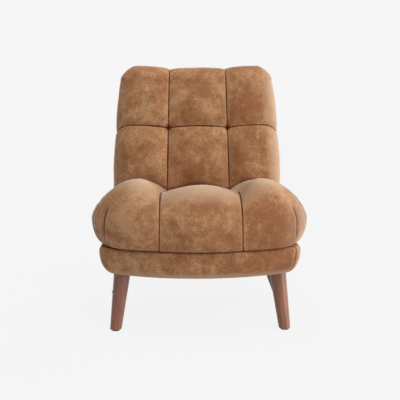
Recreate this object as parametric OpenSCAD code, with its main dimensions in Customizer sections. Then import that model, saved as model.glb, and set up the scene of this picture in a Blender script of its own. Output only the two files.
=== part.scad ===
// Armless tufted lounge chair: a leather seat with two channels and a panelled leather back
// on a leather-wrapped wooden base, carried by four splayed turned legs.
// Millimetres, the front faces -Y, +X is the viewer's right, the floor is Z = 0.

/* [Base] */
// Width of the padded base
base_w = 619; // [600:1:660]
// How far the bowed front of the base reaches ahead of the chair's origin
base_front = 372; // [355:1:390]
// How far the base reaches behind the origin
base_rear = 310; // [300:1:330]
// Height of the underside of the base above the floor
base_bottom = 177; // [150:1:220]
// Height of the padded base
base_h = 87; // [80:1:94]
// Radius of the bow across the front of the base
bow_r = 502; // [470:1:620]
// Radius of the front corners of the base
corner_r = 75; // [68:1:95]
// Radius of the rear corners of the base
rear_corner_r = 64; // [60:1:80]
// Width of the rolled lower edge of the padding
roll_r = 41; // [36:1:42]
// Height of the rolled lower edge of the padding
roll_h = 70; // [50:1:74]
// Width of leather turned under the base beyond the roll
lip_w = 2; // [1:1:3]
// Size of the softened upper edge of the padding
edge_r = 6; // [3:1:10]
// Thickness of leather and wadding outside the rails
pad_t = 24; // [20:1:26]
// Thickness of leather and wadding on top of the rails
flange_t = 6; // [4:0.5:8]
// Angle round a front corner at which the front and side panels are sewn together
panel_seam_a = 49; // [45:1:80]

/* [Frame] */
// Thickness of the base's wooden rails
rail_t = 24; // [22:1:30]
// Height of the rails' underside above the underside of the padded base
rail_lift = 18; // [16:1:24]
// Angle by which the bowed front rail ends short of each corner round
front_rail_short = 3.3; // [2.5:0.1:6]
// Height of the corner blocks
block_h = 34; // [30:1:38]
// Width of the front corner blocks, from the side of the base
front_block_w = 109.5; // [100:0.5:118]
// How far the front corner blocks reach back from the front of the base
front_block_reach = 222; // [205:1:230]
// Width of the rear corner blocks
rear_block_w = 56; // [50:1:62]
// Depth of the rear corner blocks
rear_block_d = 62; // [58:1:80]
// Clearance between pieces that lie against each other
fit = 0.3; // [0.1:0.05:0.4]
// Clearance around bolts and screws in their holes
bore_gap = 0.2; // [0.1:0.05:0.4]

/* [Webbing] */
// Width of the elastic webbing straps
strap_w = 50; // [40:1:54]
// Thickness of the straps
strap_t = 1.8; // [1.2:0.1:2.4]
// Spacing of the straps that run from front to rear
long_pitch = 100; // [85:1:104]
// Spacing of the straps that cross them
cross_pitch = 90; // [80:1:92]
// How far behind the origin the middle of the crossing straps lies
cross_y = 10; // [8:1:12]
// Spacing of the straps up the back
back_pitch = 86; // [70:1:92]
// How far below the uprights' tops the highest of these straps lies
back_strap_drop = 27; // [20:1:34]
// Least height of the lowest of these straps above the base
back_strap_low = 58; // [56:1:62]

/* [Legs] */
// Diameter of a leg where it meets the base
leg_top_d = 51; // [42:1:51]
// Diameter of a leg at the floor
leg_foot_d = 35; // [28:1:40]
// How far the front legs stand outside the middle of the corner round
front_leg_out = 5.5; // [0:0.5:6]
// How far the front legs stand ahead of the middle of the corner round
front_leg_ahead = 0; // [-3:0.5:3]
// Sideways splay of the front feet
front_splay_x = 21; // [10:1:35]
// Forward splay of the front feet
front_splay_y = 24; // [10:1:35]
// How far the rear legs stand inside the middle of the corner round
rear_leg_in = 6.5; // [5.5:0.5:14]
// How far the rear legs stand ahead of the middle of the corner round
rear_leg_ahead = 20; // [18:1:26]
// Sideways splay of the rear feet
rear_splay_x = 58; // [30:1:58]
// Rearward splay of the rear feet
rear_splay_y = 20; // [10:1:30]
// Width of the square leg plates
plate_w = 44; // [42:1:44]
// Thickness of the leg plates
plate_t = 3; // [2.5:0.25:4]
// Distance between the two rows of screws in a leg plate
plate_holes = 30; // [28:1:31]
// Diameter of the leg bolts
leg_bolt_d = 8; // [6:1:10]
// How far a leg bolt reaches into the leg
leg_bolt_down = 42; // [30:1:60]
// How far a leg bolt reaches into its corner block
leg_bolt_up = 28; // [20:1:30]
// Diameter of the screws in the leg plates
plate_screw_d = 4; // [3:0.5:5]
// Length of the screws in the leg plates
plate_screw_l = 25; // [16:1:27]
// Diameter of the glides under the feet
glide_d = 24; // [18:1:28]
// Height of the glides
glide_h = 3; // [2:0.5:5]
// Diameter of the pins that hold the glides
glide_pin_d = 3; // [2:0.5:4]
// Length of the glide pins above the glide
glide_pin_l = 14; // [10:1:20]

/* [Seat] */
// Width of the seat cushion across its bulging sides
seat_w = 672; // [655:1:690]
// How far the seat cushion bulges ahead of the base
seat_over = 22; // [10:1:30]
// How far the seat cushion reaches behind the origin
seat_rear = 169.6; // [160:0.1:169.6]
// Height of the fullest part of the cushion's sides above the base
seat_bulge_h = 78; // [70:1:85]
// Height of the middle channel's crest above the base
seat_crest = 191; // [180:1:200]
// Height of the side channels' crests above the base
seat_side_crest = 210; // [195:1:220]
// Height of the two channel seams above the base, near the front
seat_seam_h = 166; // [160:1:176]
// Fall of the seat towards the back, for each unit of depth
seat_fall = 0.1125; // [0.08:0.0025:0.12]
// Half the spacing of the channel seams at the front edge of the top
seat_seam_x = 118.5; // [105:0.5:130]
// Change of that half spacing down the front
seat_seam_spread = 5; // [0:0.5:14]
// Change of that half spacing towards the back
seat_seam_close = 5; // [0:0.5:12]
// Depth of the round over the front of the cushion
seat_front_round = 125; // [110:1:140]
// Depth of the round over the cushion's sides
seat_side_round = 136; // [120:1:150]
// How far the cushion draws in below its bulging sides
seat_tuck = 46; // [28:1:48]
// Depth of the seams down the cushion's front
seat_front_seam = 8; // [4:1:14]
// Distance of the foam core from the outline of the base
seat_foam_in = 40; // [36:1:50]
// Height of the foam core
seat_foam_h = 110; // [90:1:115]

/* [Back] */
// Height of the top of the back above the floor
chair_h = 830; // [810:1:860]
// Width of the back just above the seat
back_w = 606; // [596:1:620]
// Width of the back at its top
back_top_w = 540; // [536:1:570]
// Height at which the back begins to lean
back_knee_z = 400; // [390:1:420]
// Front face of the back at the seat, behind the origin
back_face = 170; // [170:0.5:180]
// Lean of the back's front face, for each unit of height
back_lean = 0.23; // [0.21:0.002:0.245]
// Lean of the back's rear face, for each unit of height
back_rear_lean = 0.142; // [0.13:0.002:0.15]
// How far the base reaches behind the bottom of the back
back_inset = 2; // [0:0.5:4]
// Height of the cross seam between the two rows of panels
row_seam_z = 607; // [585:1:630]
// Height of the hidden cross seam behind the seat cushion
low_seam_z = 385; // [375:1:395]
// Half the spacing of the upright seams at the seat
back_seam_x = 110; // [98:0.5:118]
// Half the spacing of the upright seams at the top
back_seam_top_x = 101; // [95:0.5:112]
// Depth of the seams between the panels
back_seam_d = 13; // [8:1:18]
// Depth of the notch where the cross seam runs round the sides
back_notch = 6; // [2:1:12]
// How far the top of the middle column lies below the outer ones
back_mid_drop = 6; // [0:1:12]
// Extra depth where two seams cross
tuft_d = 9; // [4:1:12]
// Depth of the round over the back's sides
back_side_round = 62; // [50:1:70]
// Depth of the round over the top of the back
back_top_round = 56; // [45:1:65]
// Radius of the top corners
back_corner_r = 46; // [40:1:60]
// How far the sides and top draw in towards the rear
back_tuck = 10; // [6:1:12]
// How far the cross seam rises in the middle of the middle column
row_arch = 7; // [0:1:12]
// How far the cross seam rises from its crossings towards the sides
row_side_arch = 11; // [0:1:14]
// How far the cross seam drops where it runs round the sides
row_droop = 21; // [10:1:30]
// Thickness of leather and wadding in front of the back's foam
back_pad = 34; // [30:1:38]
// Thickness of the uprights
post_t = 24; // [20:1:24]
// Width of the uprights
post_w = 40; // [30:1:44]
// How far below the top of the back the uprights end
post_drop = 85; // [80:1:110]
// Lean of the uprights, for each unit of height
post_lean = 0.1687; // [0.155:0.0005:0.17]
// Height of the back's top and lower rails
back_rail_h = 42; // [30:1:60]
// Diameter of the bolts that hold the uprights
back_bolt_d = 6; // [5:1:6]
// Height of the lower of each pair of these bolts above the rails' underside
back_bolt_up = 13; // [11:1:16]
// Distance between the two bolts of a pair
back_bolt_pitch = 20; // [16:1:24]
// Thickness of the outside back panel
outside_t = 3.4; // [2:0.1:4]

/* [Hidden] */
$fn = 96;

leather = [0.66, 0.46, 0.29];
walnut = [0.42, 0.27, 0.22];
pine = [0.82, 0.70, 0.50];
foam = [0.94, 0.88, 0.66];
steel = [0.72, 0.73, 0.75];
cloth = [0.13, 0.13, 0.14];

// The outline of the base: a bow of radius bow_r, two corners, straight sides and rear
hw = base_w / 2;
bow_y = bow_r - base_front;
corner_x = hw - corner_r;
bow_a = asin(corner_x / (bow_r - corner_r));
corner_y = bow_y - (bow_r - corner_r) * cos(bow_a);
rear_x = hw - rear_corner_r;
rear_y = base_rear - rear_corner_r;

// Heights from the underside of the base upwards
base_top = base_bottom + base_h;
rail_bottom = base_bottom + rail_lift;
flange_bottom = base_top - flange_t;
side_rail_top = flange_bottom - strap_t - 0.2;
rail_top = side_rail_top - strap_t - 0.2;
cushion_z = base_top + fit;
leg_top_z = rail_bottom - plate_t - fit;

// Where the wooden pieces of the base end
front_rail_a = bow_a - front_rail_short;
front_block_in = hw - front_block_w;
front_block_end = base_front - front_block_reach;

// Insets from the outline of the base
lip_in = roll_r + lip_w;
rail_in = pad_t + rail_t;
strap_in = pad_t + 6;

// A point at angle a from straight ahead on a circle of radius r round [cx, cy]
function round_point(cx, cy, r, a) = [cx + r * sin(a), cy - r * cos(a)];
function blend(a, b, f) = a + (b - a) * f;

// The right half of the base's outline drawn in by inset, and its rear edge at y = rear
function half_outline(inset, rear, rear_r) = concat(
    [for (i = [0:12]) round_point(0, bow_y, bow_r - inset, bow_a * i / 12)],
    [for (i = [1:6]) round_point(corner_x, corner_y, corner_r - inset, blend(bow_a, 90, i / 6))],
    [for (i = [0:4]) round_point(hw - inset - rear_r, rear - rear_r, rear_r, 90 + 22.5 * i)]
);
function mirrored(points) = [for (i = [len(points) - 1:-1:0]) [-points[i][0], points[i][1]]];
function outline(inset, rear, rear_r) = concat(
    half_outline(inset, rear, rear_r), mirrored(half_outline(inset, rear, rear_r)));

// A flat sheet or block with the base's outline, from z0 to z1
module outline_slab(inset, rear, rear_r, z0, z1) {
    translate([0, 0, z0]) linear_extrude(height = z1 - z0) polygon(outline(inset, rear, rear_r));
}

// A side profile of [y, z] points carried across the chair from x0 to x1
module side_profile(x0, x1, points) {
    translate([x0, 0, 0]) rotate([90, 0, 90]) linear_extrude(height = x1 - x0) polygon(points);
}

module on_side(side) {
    mirror([side < 0 ? 1 : 0, 0, 0]) children();
}

// Legs: each is a straight taper on a line from the floor through the base
front_leg = [corner_x + front_leg_out, corner_y - front_leg_ahead, front_splay_x, -front_splay_y];
rear_leg = [rear_x - rear_leg_in, rear_y - rear_leg_ahead, rear_splay_x, rear_splay_y];
leg_kinds = [front_leg, rear_leg];
// Where a leg's middle line is at height z
function leg_x(k, z) = k[0] + k[2] * (base_bottom - z) / base_bottom;
function leg_y(k, z) = k[1] + k[3] * (base_bottom - z) / base_bottom;
function leg_tilt(k) = atan(norm([k[2], k[3]]) / base_bottom);
function leg_turn(k) = atan2(-k[3], -k[2]);

// Children placed with their Z axis along a leg's middle line, from its point at height z
module along_leg(k, z) {
    translate([leg_x(k, z), leg_y(k, z), z]) rotate([0, 0, leg_turn(k)]) rotate([0, leg_tilt(k), 0]) children();
}

module turned_leg(k) {
    grow = (leg_top_d - leg_foot_d) / 2 / base_bottom;
    low = 12;
    reach = leg_top_z + 24;
    difference() {
        intersection() {
            along_leg(k, -low) cylinder(
                h = reach + low, r1 = leg_foot_d / 2 - grow * low, r2 = leg_foot_d / 2 + grow * reach);
            // Level foot with a softened edge
            translate([leg_x(k, glide_h), leg_y(k, glide_h), glide_h])
                cylinder(h = leg_top_z - glide_h, r1 = leg_foot_d / 2 - 2.5, r2 = leg_foot_d / 2 + leg_top_z);
        }
        along_leg(k, leg_top_z - leg_bolt_down - 1)
            cylinder(h = leg_bolt_down + 20, d = leg_bolt_d + 2 * bore_gap, $fn = 32);
        translate([leg_x(k, glide_h), leg_y(k, glide_h), glide_h - 1])
            cylinder(h = glide_pin_l + 2, d = glide_pin_d + 2 * bore_gap, $fn = 24);
    }
}

module front_leg_piece(side) {
    color(walnut) on_side(side) turned_leg(front_leg);
}

module rear_leg_piece(side) {
    color(walnut) on_side(side) turned_leg(rear_leg);
}

module floor_glides() {
    color(cloth) for (side = [-1, 1], k = leg_kinds) on_side(side)
        translate([leg_x(k, glide_h), leg_y(k, glide_h), 0]) {
            cylinder(h = glide_h, d = glide_d, $fn = 48);
            cylinder(h = glide_h + glide_pin_l, d = glide_pin_d, $fn = 24);
        }
}

module leg_bolts() {
    color(steel) for (side = [-1, 1], k = leg_kinds) on_side(side)
        along_leg(k, leg_top_z - leg_bolt_down)
            cylinder(h = leg_bolt_down + leg_bolt_up, d = leg_bolt_d, $fn = 32);
}

// The four screw places of a leg plate, with the plate's middle on the leg's line
module plate_screw_places(k) {
    for (dx = [-1, 1], dy = [-1, 1])
        translate([leg_x(k, rail_bottom) + dx * plate_holes / 2,
                   leg_y(k, rail_bottom) + dy * plate_holes / 2, 0]) children();
}

module countersunk_screw(d, l, gap) {
    cylinder(h = 2.2, d1 = 2 * d + 2 * gap, d2 = d + 2 * gap, $fn = 24);
    cylinder(h = l, d = d + 2 * gap, $fn = 24);
}

module leg_plate(k) {
    difference() {
        translate([leg_x(k, rail_bottom) - plate_w / 2, leg_y(k, rail_bottom) - plate_w / 2, rail_bottom - plate_t])
            cube([plate_w, plate_w, plate_t]);
        along_leg(k, leg_top_z - leg_bolt_down) cylinder(h = 90, d = leg_bolt_d + 4 * bore_gap, $fn = 32);
        translate([0, 0, rail_bottom - plate_t - 0.01]) plate_screw_places(k)
            countersunk_screw(plate_screw_d, plate_screw_l, bore_gap);
    }
}

module leg_plates() {
    color(steel) for (side = [-1, 1], k = leg_kinds) on_side(side) leg_plate(k);
}

module plate_screws() {
    color(steel) for (side = [-1, 1], k = leg_kinds) on_side(side)
        translate([0, 0, rail_bottom - plate_t + 0.1]) plate_screw_places(k)
            countersunk_screw(plate_screw_d, plate_screw_l - 1, 0);
}

// Wooden frame of the base
module front_rail() {
    color(pine) translate([0, bow_y, rail_bottom]) linear_extrude(height = rail_top - rail_bottom)
        intersection() {
            difference() {
                circle(r = bow_r - pad_t, $fn = 180);
                circle(r = bow_r - rail_in, $fn = 180);
            }
            polygon([[0, 0], round_point(0, 0, 2 * bow_r, front_rail_a), round_point(0, 0, 2 * bow_r, -front_rail_a)]);
        }
}

module side_rail(side) {
    rear_r = rear_corner_r - pad_t;
    color(pine) on_side(side) difference() {
        translate([0, 0, rail_bottom]) linear_extrude(height = side_rail_top - rail_bottom)
            polygon(concat(
                [[hw - rail_in, -front_block_end + fit], [hw - pad_t, -front_block_end + fit]],
                [for (i = [0:3]) round_point(rear_x, rear_y, rear_r, 90 + 22.5 * i)],
                [[hw - rail_in, base_rear - pad_t]]));
        back_bolt_places() {
            translate([hw - rail_in - 1, 0, 0]) bolt_shape(rail_t + 40, back_bolt_d + 2 * bore_gap);
            translate([back_bolt_head_x - fit, 0, 0]) bolt_shape(40, 2.2 * back_bolt_d + 1);
        }
    }
}

module rear_rail() {
    x = hw - rail_in - post_w - 2 * fit;
    color(pine) translate([-x, base_rear - rail_in, rail_bottom])
        cube([2 * x, rail_t, rail_top - rail_bottom]);
}

module block_bores(k) {
    along_leg(k, leg_top_z - leg_bolt_down) cylinder(h = leg_bolt_down + leg_bolt_up + 1,
        d = leg_bolt_d + 2 * bore_gap, $fn = 32);
    translate([0, 0, rail_bottom - plate_t - 0.01]) plate_screw_places(k)
        cylinder(h = plate_screw_l + 1, d = plate_screw_d + 2 * bore_gap, $fn = 24);
}

module front_block(side) {
    outer = bow_r - pad_t;
    inner = bow_r - rail_in - fit;
    inner_a = asin(front_block_in / inner);
    color(pine) on_side(side) difference() {
        translate([0, 0, rail_bottom]) linear_extrude(height = block_h) polygon([
            round_point(0, bow_y, outer, front_rail_a + 0.05),
            round_point(0, bow_y, outer, bow_a),
            round_point(corner_x, corner_y, corner_r - pad_t, (bow_a + 90) / 2),
            round_point(corner_x, corner_y, corner_r - pad_t, 90),
            [hw - pad_t, -front_block_end],
            [front_block_in, -front_block_end],
            round_point(0, bow_y, inner, inner_a),
            round_point(0, bow_y, inner, front_rail_a + 0.05)
        ]);
        block_bores(front_leg);
    }
}

module rear_block(side) {
    color(pine) on_side(side) difference() {
        translate([hw - rail_in - fit - rear_block_w, base_rear - rail_in - rear_block_d - fit, rail_bottom])
            cube([rear_block_w, rear_block_d, block_h]);
        block_bores(rear_leg);
    }
}

// Elastic webbing over the base
module seat_webbing() {
    color(cloth) for (i = [-2:2]) {
        x = i * long_pitch;
        reach = abs(x) + strap_w / 2;
        y0 = bow_y - sqrt(pow(bow_r - strap_in, 2) - reach * reach);
        translate([x - strap_w / 2, y0, rail_top])
            cube([strap_w, base_rear - strap_in - y0, strap_t]);
    }
}

module cross_webbing() {
    color(cloth) for (i = [-1.5:1:1.5])
        translate([-(hw - strap_in), i * cross_pitch + cross_y - strap_w / 2, side_rail_top])
            cube([2 * (hw - strap_in), strap_w, strap_t]);
}

module deck_pad() {
    color(foam) outline_slab(rail_in + fit, base_rear - rail_in - fit, 6, flange_bottom, base_top);
}

// Leather and wadding round the base: one profile swept along bow, corners and straights
roll_steps = 9;
panel_profile = concat(
    [for (i = [0:2]) [edge_r * (1 - sin(45 * i)), base_top - edge_r * (1 - cos(45 * i))]],
    [for (i = [0:roll_steps]) [
        roll_r * (1 - cos(90 * i / roll_steps)), base_bottom + roll_h * (1 - sin(90 * i / roll_steps))]],
    [
        [lip_in, base_bottom],
        [lip_in, rail_bottom - fit],
        [pad_t - fit, rail_bottom - fit],
        [pad_t - fit, flange_bottom],
        [rail_in, flange_bottom],
        [rail_in, base_top]
    ]
);

// The profile carried along a path of [circle, angle] stations, where a circle is [cx, cy, r]
bow_circle = [0, bow_y, bow_r];
corner_circle = [corner_x, corner_y, corner_r];
left_corner_circle = [-corner_x, corner_y, corner_r];
rear_circle = [rear_x, rear_y, rear_corner_r];
module swept_panel(path) {
    n = len(panel_profile);
    points = [for (s = path, p = panel_profile)
        concat(round_point(s[0][0], s[0][1], s[0][2] - p[0], s[1]), [p[1]])];
    sides = [for (i = [0:len(path) - 2], j = [0:n - 1], h = [0, 1])
        let (a = i * n + j, b = i * n + (j + 1) % n)
        h == 0 ? [a, b, a + n] : [b, b + n, a + n]];
    last = (len(path) - 1) * n;
    caps = [[for (j = [n - 1:-1:0]) j], [for (j = [0:n - 1]) last + j]];
    polyhedron(points, concat(sides, caps), convexity = 6);
}

module post_notch(side) {
    on_side(side) translate([hw - rail_in - post_w - 2 * fit, base_rear - rail_in - 2 * fit, flange_bottom - 1])
        cube([post_w + 3 * fit, post_t + 4 * fit, flange_t + 2]);
}

module base_front_panel() {
    corner_angles = [for (i = [0:3]) blend(panel_seam_a, bow_a, i / 4)];
    color(leather) swept_panel(concat(
        [for (a = corner_angles) [left_corner_circle, -a]],
        [for (i = [-12:12]) [bow_circle, bow_a * i / 12]],
        [for (i = [3:-1:0]) [corner_circle, corner_angles[i]]]));
}

module base_side_panel(side) {
    color(leather) on_side(side) difference() {
        swept_panel(concat(
            [for (i = [0:4]) [corner_circle, blend(panel_seam_a, 90, i / 4)]],
            [for (i = [0:8]) [rear_circle, 90 + 90 * i / 8]]));
        post_notch(1);
    }
}

module base_rear_panel() {
    color(leather) difference() {
        translate([rear_x, 0, 0]) rotate([90, 0, -90]) linear_extrude(height = 2 * rear_x)
            polygon([for (p = panel_profile) [-(base_rear - p[0]), p[1]]]);
        post_notch(-1);
        post_notch(1);
    }
}

module dust_cover() {
    color(cloth) difference() {
        outline_slab(lip_in + fit, base_rear - lip_in - fit, 8, rail_bottom - 0.8, rail_bottom);
        for (side = [-1, 1], k = leg_kinds) on_side(side)
            translate([leg_x(k, rail_bottom) - plate_w / 2 - 1, leg_y(k, rail_bottom) - plate_w / 2 - 1, rail_bottom - 5])
                cube([plate_w + 2, plate_w + 2, 10]);
    }
}

// Profile of padded edges. r runs from 0 at the edge of the face, over the round and
// the fullest part, to 1 where the leather is drawn in and sewn or stapled down.
face_share = 0.64;
side_square = 1.5;
function over(r) = r < face_share ? 90 * r / face_share : 90;
function under(r) = r > face_share ? 90 * (r - face_share) / (1 - face_share) : 0;
function out_part(r, square) = pow(sin(over(r)), 2 / square);
function up_part(r, square) = r < face_share ? pow(cos(over(r)), 2 / square) : 0;
function tuck_part(r) = 1 - cos(under(r));
function low_part(r) = 1 - sin(under(r));
// Rise of a panel from its seam at 0 to its middle at 1
function rise(u) = pow(1 - pow(1 - min(1, max(0, u)), 2.2), 1 / 1.7);
// Softer rise of a seat channel, with k as below
function lobe(k) = pow(sin(90 * (abs(k) <= 1 ? 1 - abs(k) : abs(k) - 1)), 0.9);
// Direction of a corner point: 0 looks to the side, 90 to the front or the top
function corner_turn(s, t) = t > s ? 90 - 45 * s / t : (s > 0 ? 45 * t / s : 90);

// Across a padded face k is 0 in the middle, 1 on a seam and 2 where the side rounds over.
// Each station is [k, s], with s from 0 on the face to 1 at the sewn edge.
side_steps = 9;
panel_stations = [0, 0.35, 0.62, 0.8, 0.91, 1, 1.07, 1.2, 1.42, 1.7, 2];
half_stations = concat(
    [for (k = panel_stations) [k, 0]], [for (i = [1:side_steps]) [2, i / side_steps]]);
stations = concat(
    [for (i = [len(half_stations) - 1:-1:1]) [-half_stations[i][0], half_stations[i][1]]], half_stations);
columns = len(stations);
function side_of(k) = k < 0 ? -1 : 1;
function seam_rise(k) = abs(k) <= 1 ? rise(1 - abs(k)) : rise(abs(k) - 1);
function across(k, seam, edge) = side_of(k) * (abs(k) <= 1 ? abs(k) * seam : blend(seam, edge, abs(k) - 1));

// Two triangles for every four neighbouring points of a grid with n points in each row
function grid_faces(n, rows) = [for (j = [0:rows - 2], i = [0:n - 2], h = [0, 1])
    h == 0 ? [j * n + i, (j + 1) * n + i, j * n + i + 1]
           : [j * n + i + 1, (j + 1) * n + i, (j + 1) * n + i + 1]];
// Triangles from each pair of neighbours along a rim to a middle point
function fan_faces(rim, middle) = [for (i = [0:len(rim) - 1]) [rim[i], rim[(i + 1) % len(rim)], middle]];

// Seat cushion. Rows are [m, t, end]: m runs from -1 at the front of the top to 1 at its rear,
// t over the front or rear edge, end is -1 for the front edge and 1 for the rear one.
front_steps = 11;
rear_steps = 4;
seat_rows = concat(
    [for (i = [front_steps:-1:1]) [-1, i / front_steps, -1]],
    [for (i = [0:7]) [-1 + 2 * i / 7, 0, 0]],
    [for (i = [1:rear_steps]) [1, i / rear_steps, 1]]);
seat_inner_r = 20;
seat_bulge_r = corner_r + seat_over;
seat_rear_r = 44;
seat_rear_round = 26;
bow_out = bow_r + seat_over;
function bow_back(x) = bow_out - sqrt(bow_out * bow_out - x * x);

function seat_point(station, row) =
    let (
        k = station[0],
        s = station[1],
        t = row[1],
        r = max(s, t),
        turn = corner_turn(s, t),
        square = blend(side_square, 2, turn / 90),
        e = out_part(r, square),
        d = tuck_part(r),
        front = row[0] < 0 || row[2] < 0,
        half = seat_w / 2 - seat_side_round * (1 - e) - seat_tuck * d,
        c_front = blend(seat_inner_r, seat_bulge_r, e) - seat_tuck * 0.8 * d,
        c_rear = blend(seat_inner_r, seat_rear_r, e),
        c = blend(c_front, c_rear, (row[0] + 1) / 2),
        edge = half - c,
        seam = seat_seam_x + (row[2] < 0 ? seat_seam_spread * t : -seat_seam_close * (row[0] + 1) / 2),
        x = s > 0 ? side_of(k) * (edge + c * (t > 0 ? cos(turn) : 1)) : across(k, seam, edge),
        y_front = -base_front - seat_over + seat_front_round * (1 - e) + seat_over * d + bow_back(x),
        y_rear = seat_rear - seat_rear_round * (1 - e),
        y_mid = blend(y_front + c_front, y_rear - c_rear, (row[0] + 1) / 2),
        y = t == 0 ? y_mid
            : row[2] < 0 ? y_front + c_front * (1 - sin(turn))
            : y_rear - c_rear * (1 - sin(turn)),
        b = s > 0 ? 1 : lobe(k),
        crest = abs(k) <= 1 ? seat_crest : seat_side_crest,
        fall = seat_fall * (min(y, seat_rear - seat_rear_round) + base_front + seat_over - seat_front_round - 20),
        top = base_top + blend(seat_seam_h, crest, b) - max(0, fall),
        z_bulge = base_top + seat_bulge_h,
        z = r < face_share ? blend(z_bulge, top, up_part(r, square)) : blend(cushion_z, z_bulge, low_part(r)),
        sunk = (1 - b) * seat_front_seam * sin(over(r)) * (1 - 0.6 * d)
    )
    [x, y - row[2] * sunk * (t > 0 ? 1 : 0), z];

module seat_shape() {
    rows = len(seat_rows);
    points = concat(
        [for (row = seat_rows, station = stations) seat_point(station, row)], [[0, 0, cushion_z]]);
    rim = concat(
        [for (i = [0:columns - 1]) i],
        [for (j = [1:rows - 1]) j * columns + columns - 1],
        [for (i = [columns - 2:-1:0]) (rows - 1) * columns + i],
        [for (j = [rows - 2:-1:1]) j * columns]);
    polyhedron(points, concat(grid_faces(columns, rows), fan_faces(rim, len(points) - 1)), convexity = 6);
}

seat_foam_rear = seat_rear - 50;
module seat_cover() {
    color(leather) difference() {
        seat_shape();
        outline_slab(seat_foam_in, seat_foam_rear, 20, base_top - 5, cushion_z + seat_foam_h);
    }
}

module seat_foam() {
    color(foam) outline_slab(seat_foam_in + fit, seat_foam_rear - fit, 20 - fit, cushion_z, cushion_z + seat_foam_h - fit);
}

// Back. Front and rear faces, half width, and the lines that the uprights follow, at height z
function back_rear_at(z) = base_rear - back_inset + (z - base_top) * back_rear_lean;
function back_front_at(z) = back_face + max(0, z - back_knee_z) * back_lean;
function back_half(z) = back_w / 2
    - (back_w - back_top_w) / 2 * pow(max(0, z - back_knee_z) / (chair_h - back_knee_z), 2);
function post_front_at(z) = base_rear - rail_in + max(0, z - base_top) * post_lean;

// Rows of the back are [m, t]: m is 0 at the bottom, 1 and 2 on the cross seams and 3 where
// the top rounds over. t runs over the top edge.
top_steps = 8;
back_rows = concat(
    [for (m = [0, 0.5, 1, 1.08, 1.25, 1.5, 1.75, 1.88, 1.95, 2, 2.05, 2.12, 2.3, 2.6, 3]) [m, 0]],
    [for (i = [1:top_steps]) [3, i / top_steps]]);
back_bulge = 0.46;
back_mid_z = blend(base_top, chair_h, 0.5);
back_inner_r = 12;
chamfer_power = 1.4;

function back_row_rise(m) = m >= 2 ? rise((m - 2) * 1.6) : m >= 1 ? rise(1 - abs(2 * (m - 1) - 1)) : 1;
function tuft(k, m) = tuft_d * exp(-pow((abs(k) - 1) / 0.13, 2) - pow((m - 2) / 0.1, 2));

function back_point(station, row) =
    let (
        k = station[0],
        s = station[1],
        m = row[0],
        t = row[1],
        r = max(s, t),
        turn = corner_turn(s, t),
        e = out_part(r, 2),
        d = tuck_part(r),
        c = blend(back_inner_r, back_corner_r, e) - back_tuck * d,
        z_top = chair_h - back_top_round * (1 - e) - back_tuck * d,
        arch = abs(k) <= 1 ? row_arch * (1 - k * k) : row_side_arch * sin(90 * (abs(k) - 1)),
        z_seam = row_seam_z + arch - (s > 0 ? row_droop * pow(e, 1.5) : 0),
        z_line = m <= 1 ? blend(cushion_z, low_seam_z, m)
            : m <= 2 ? blend(low_seam_z, z_seam, m - 1)
            : blend(z_seam, z_top - c, m - 2),
        z = t > 0 ? z_top - c * (1 - pow(sin(turn), chamfer_power)) : z_line,
        half = back_half(z) - back_side_round * (1 - e) - back_tuck * d,
        edge = half - c,
        seam = blend(back_seam_x, back_seam_top_x, max(0, z - back_knee_z) / (chair_h - back_knee_z)),
        side_x = edge + c * (t > 0 ? pow(cos(turn), chamfer_power) : 1),
        x = s > 0 ? side_of(k) * side_x : across(k, seam, edge),
        b_x = s > 0 ? 1 : seam_rise(k),
        b = b_x * back_row_rise(m),
        shown = max(0, min(1, (z - low_seam_z) / 30)),
        side_d = blend(back_seam_d, back_notch, s > 0 && t == 0 ? min(1, 3 * s) : 0),
        depth = shown * (side_d * (1 - b) + (s > 0 ? 0 : tuft(k, m))) * (1 - d),
        low = abs(k) < 1 ? back_mid_drop * b_x : 0,
        g = r < face_share ? blend(back_bulge, 1, up_part(r, 2)) : back_bulge * low_part(r),
        out = t > 0 ? cos(turn) : 1
    )
    [
        x - (s > 0 ? side_of(k) * depth * sin(over(r)) * out : 0),
        blend(back_rear_at(z), back_front_at(z), g) + depth * cos(over(r)),
        z - (t > 0 ? (1.1 * depth + low) * sin(over(r)) * sin(turn) : 0)
    ];

module back_shape() {
    rows = len(back_rows);
    n = columns;
    points = concat(
        [for (row = back_rows, station = stations) back_point(station, row)],
        [[0, back_rear_at(back_mid_z), back_mid_z], [0, blend(back_rear_at(base_top), back_face, 0.5), cushion_z]]);
    rear_rim = concat(
        [for (j = [0:rows - 1]) j * n],
        [for (i = [1:n - 1]) (rows - 1) * n + i],
        [for (j = [rows - 2:-1:0]) j * n + n - 1]);
    bottom_rim = [for (i = [n - 1:-1:0]) i];
    polyhedron(points, concat(
        grid_faces(n, rows),
        [for (f = fan_faces(rear_rim, len(points) - 2)) [f[1], f[0], f[2]]],
        [for (f = fan_faces(bottom_rim, len(points) - 1)) [f[1], f[0], f[2]]]), convexity = 6);
}

post_top = chair_h - post_drop;
post_x = hw - rail_in - fit;
pocket_x = post_x + 0.8;
pocket_top = post_top + 4;

module back_cover() {
    color(leather) difference() {
        back_shape();
        side_profile(-pocket_x, pocket_x, [
            [back_face + back_pad, base_top - 5],
            [back_face + back_pad, back_knee_z],
            [back_front_at(pocket_top) + back_pad, pocket_top],
            [back_rear_at(pocket_top) + 20, pocket_top],
            [back_rear_at(base_top) + 20, base_top - 5]
        ]);
    }
}

module back_foam() {
    gap = strap_t + 2 * fit;
    color(foam) side_profile(-pocket_x + fit, pocket_x - fit, [
        [back_face + back_pad + fit, cushion_z],
        [back_face + back_pad + fit, back_knee_z],
        [back_front_at(post_top) + back_pad + fit, post_top],
        [post_front_at(post_top) - gap, post_top],
        [post_front_at(base_top) - gap, base_top],
        [post_front_at(base_top) - gap, cushion_z]
    ]);
}

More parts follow.
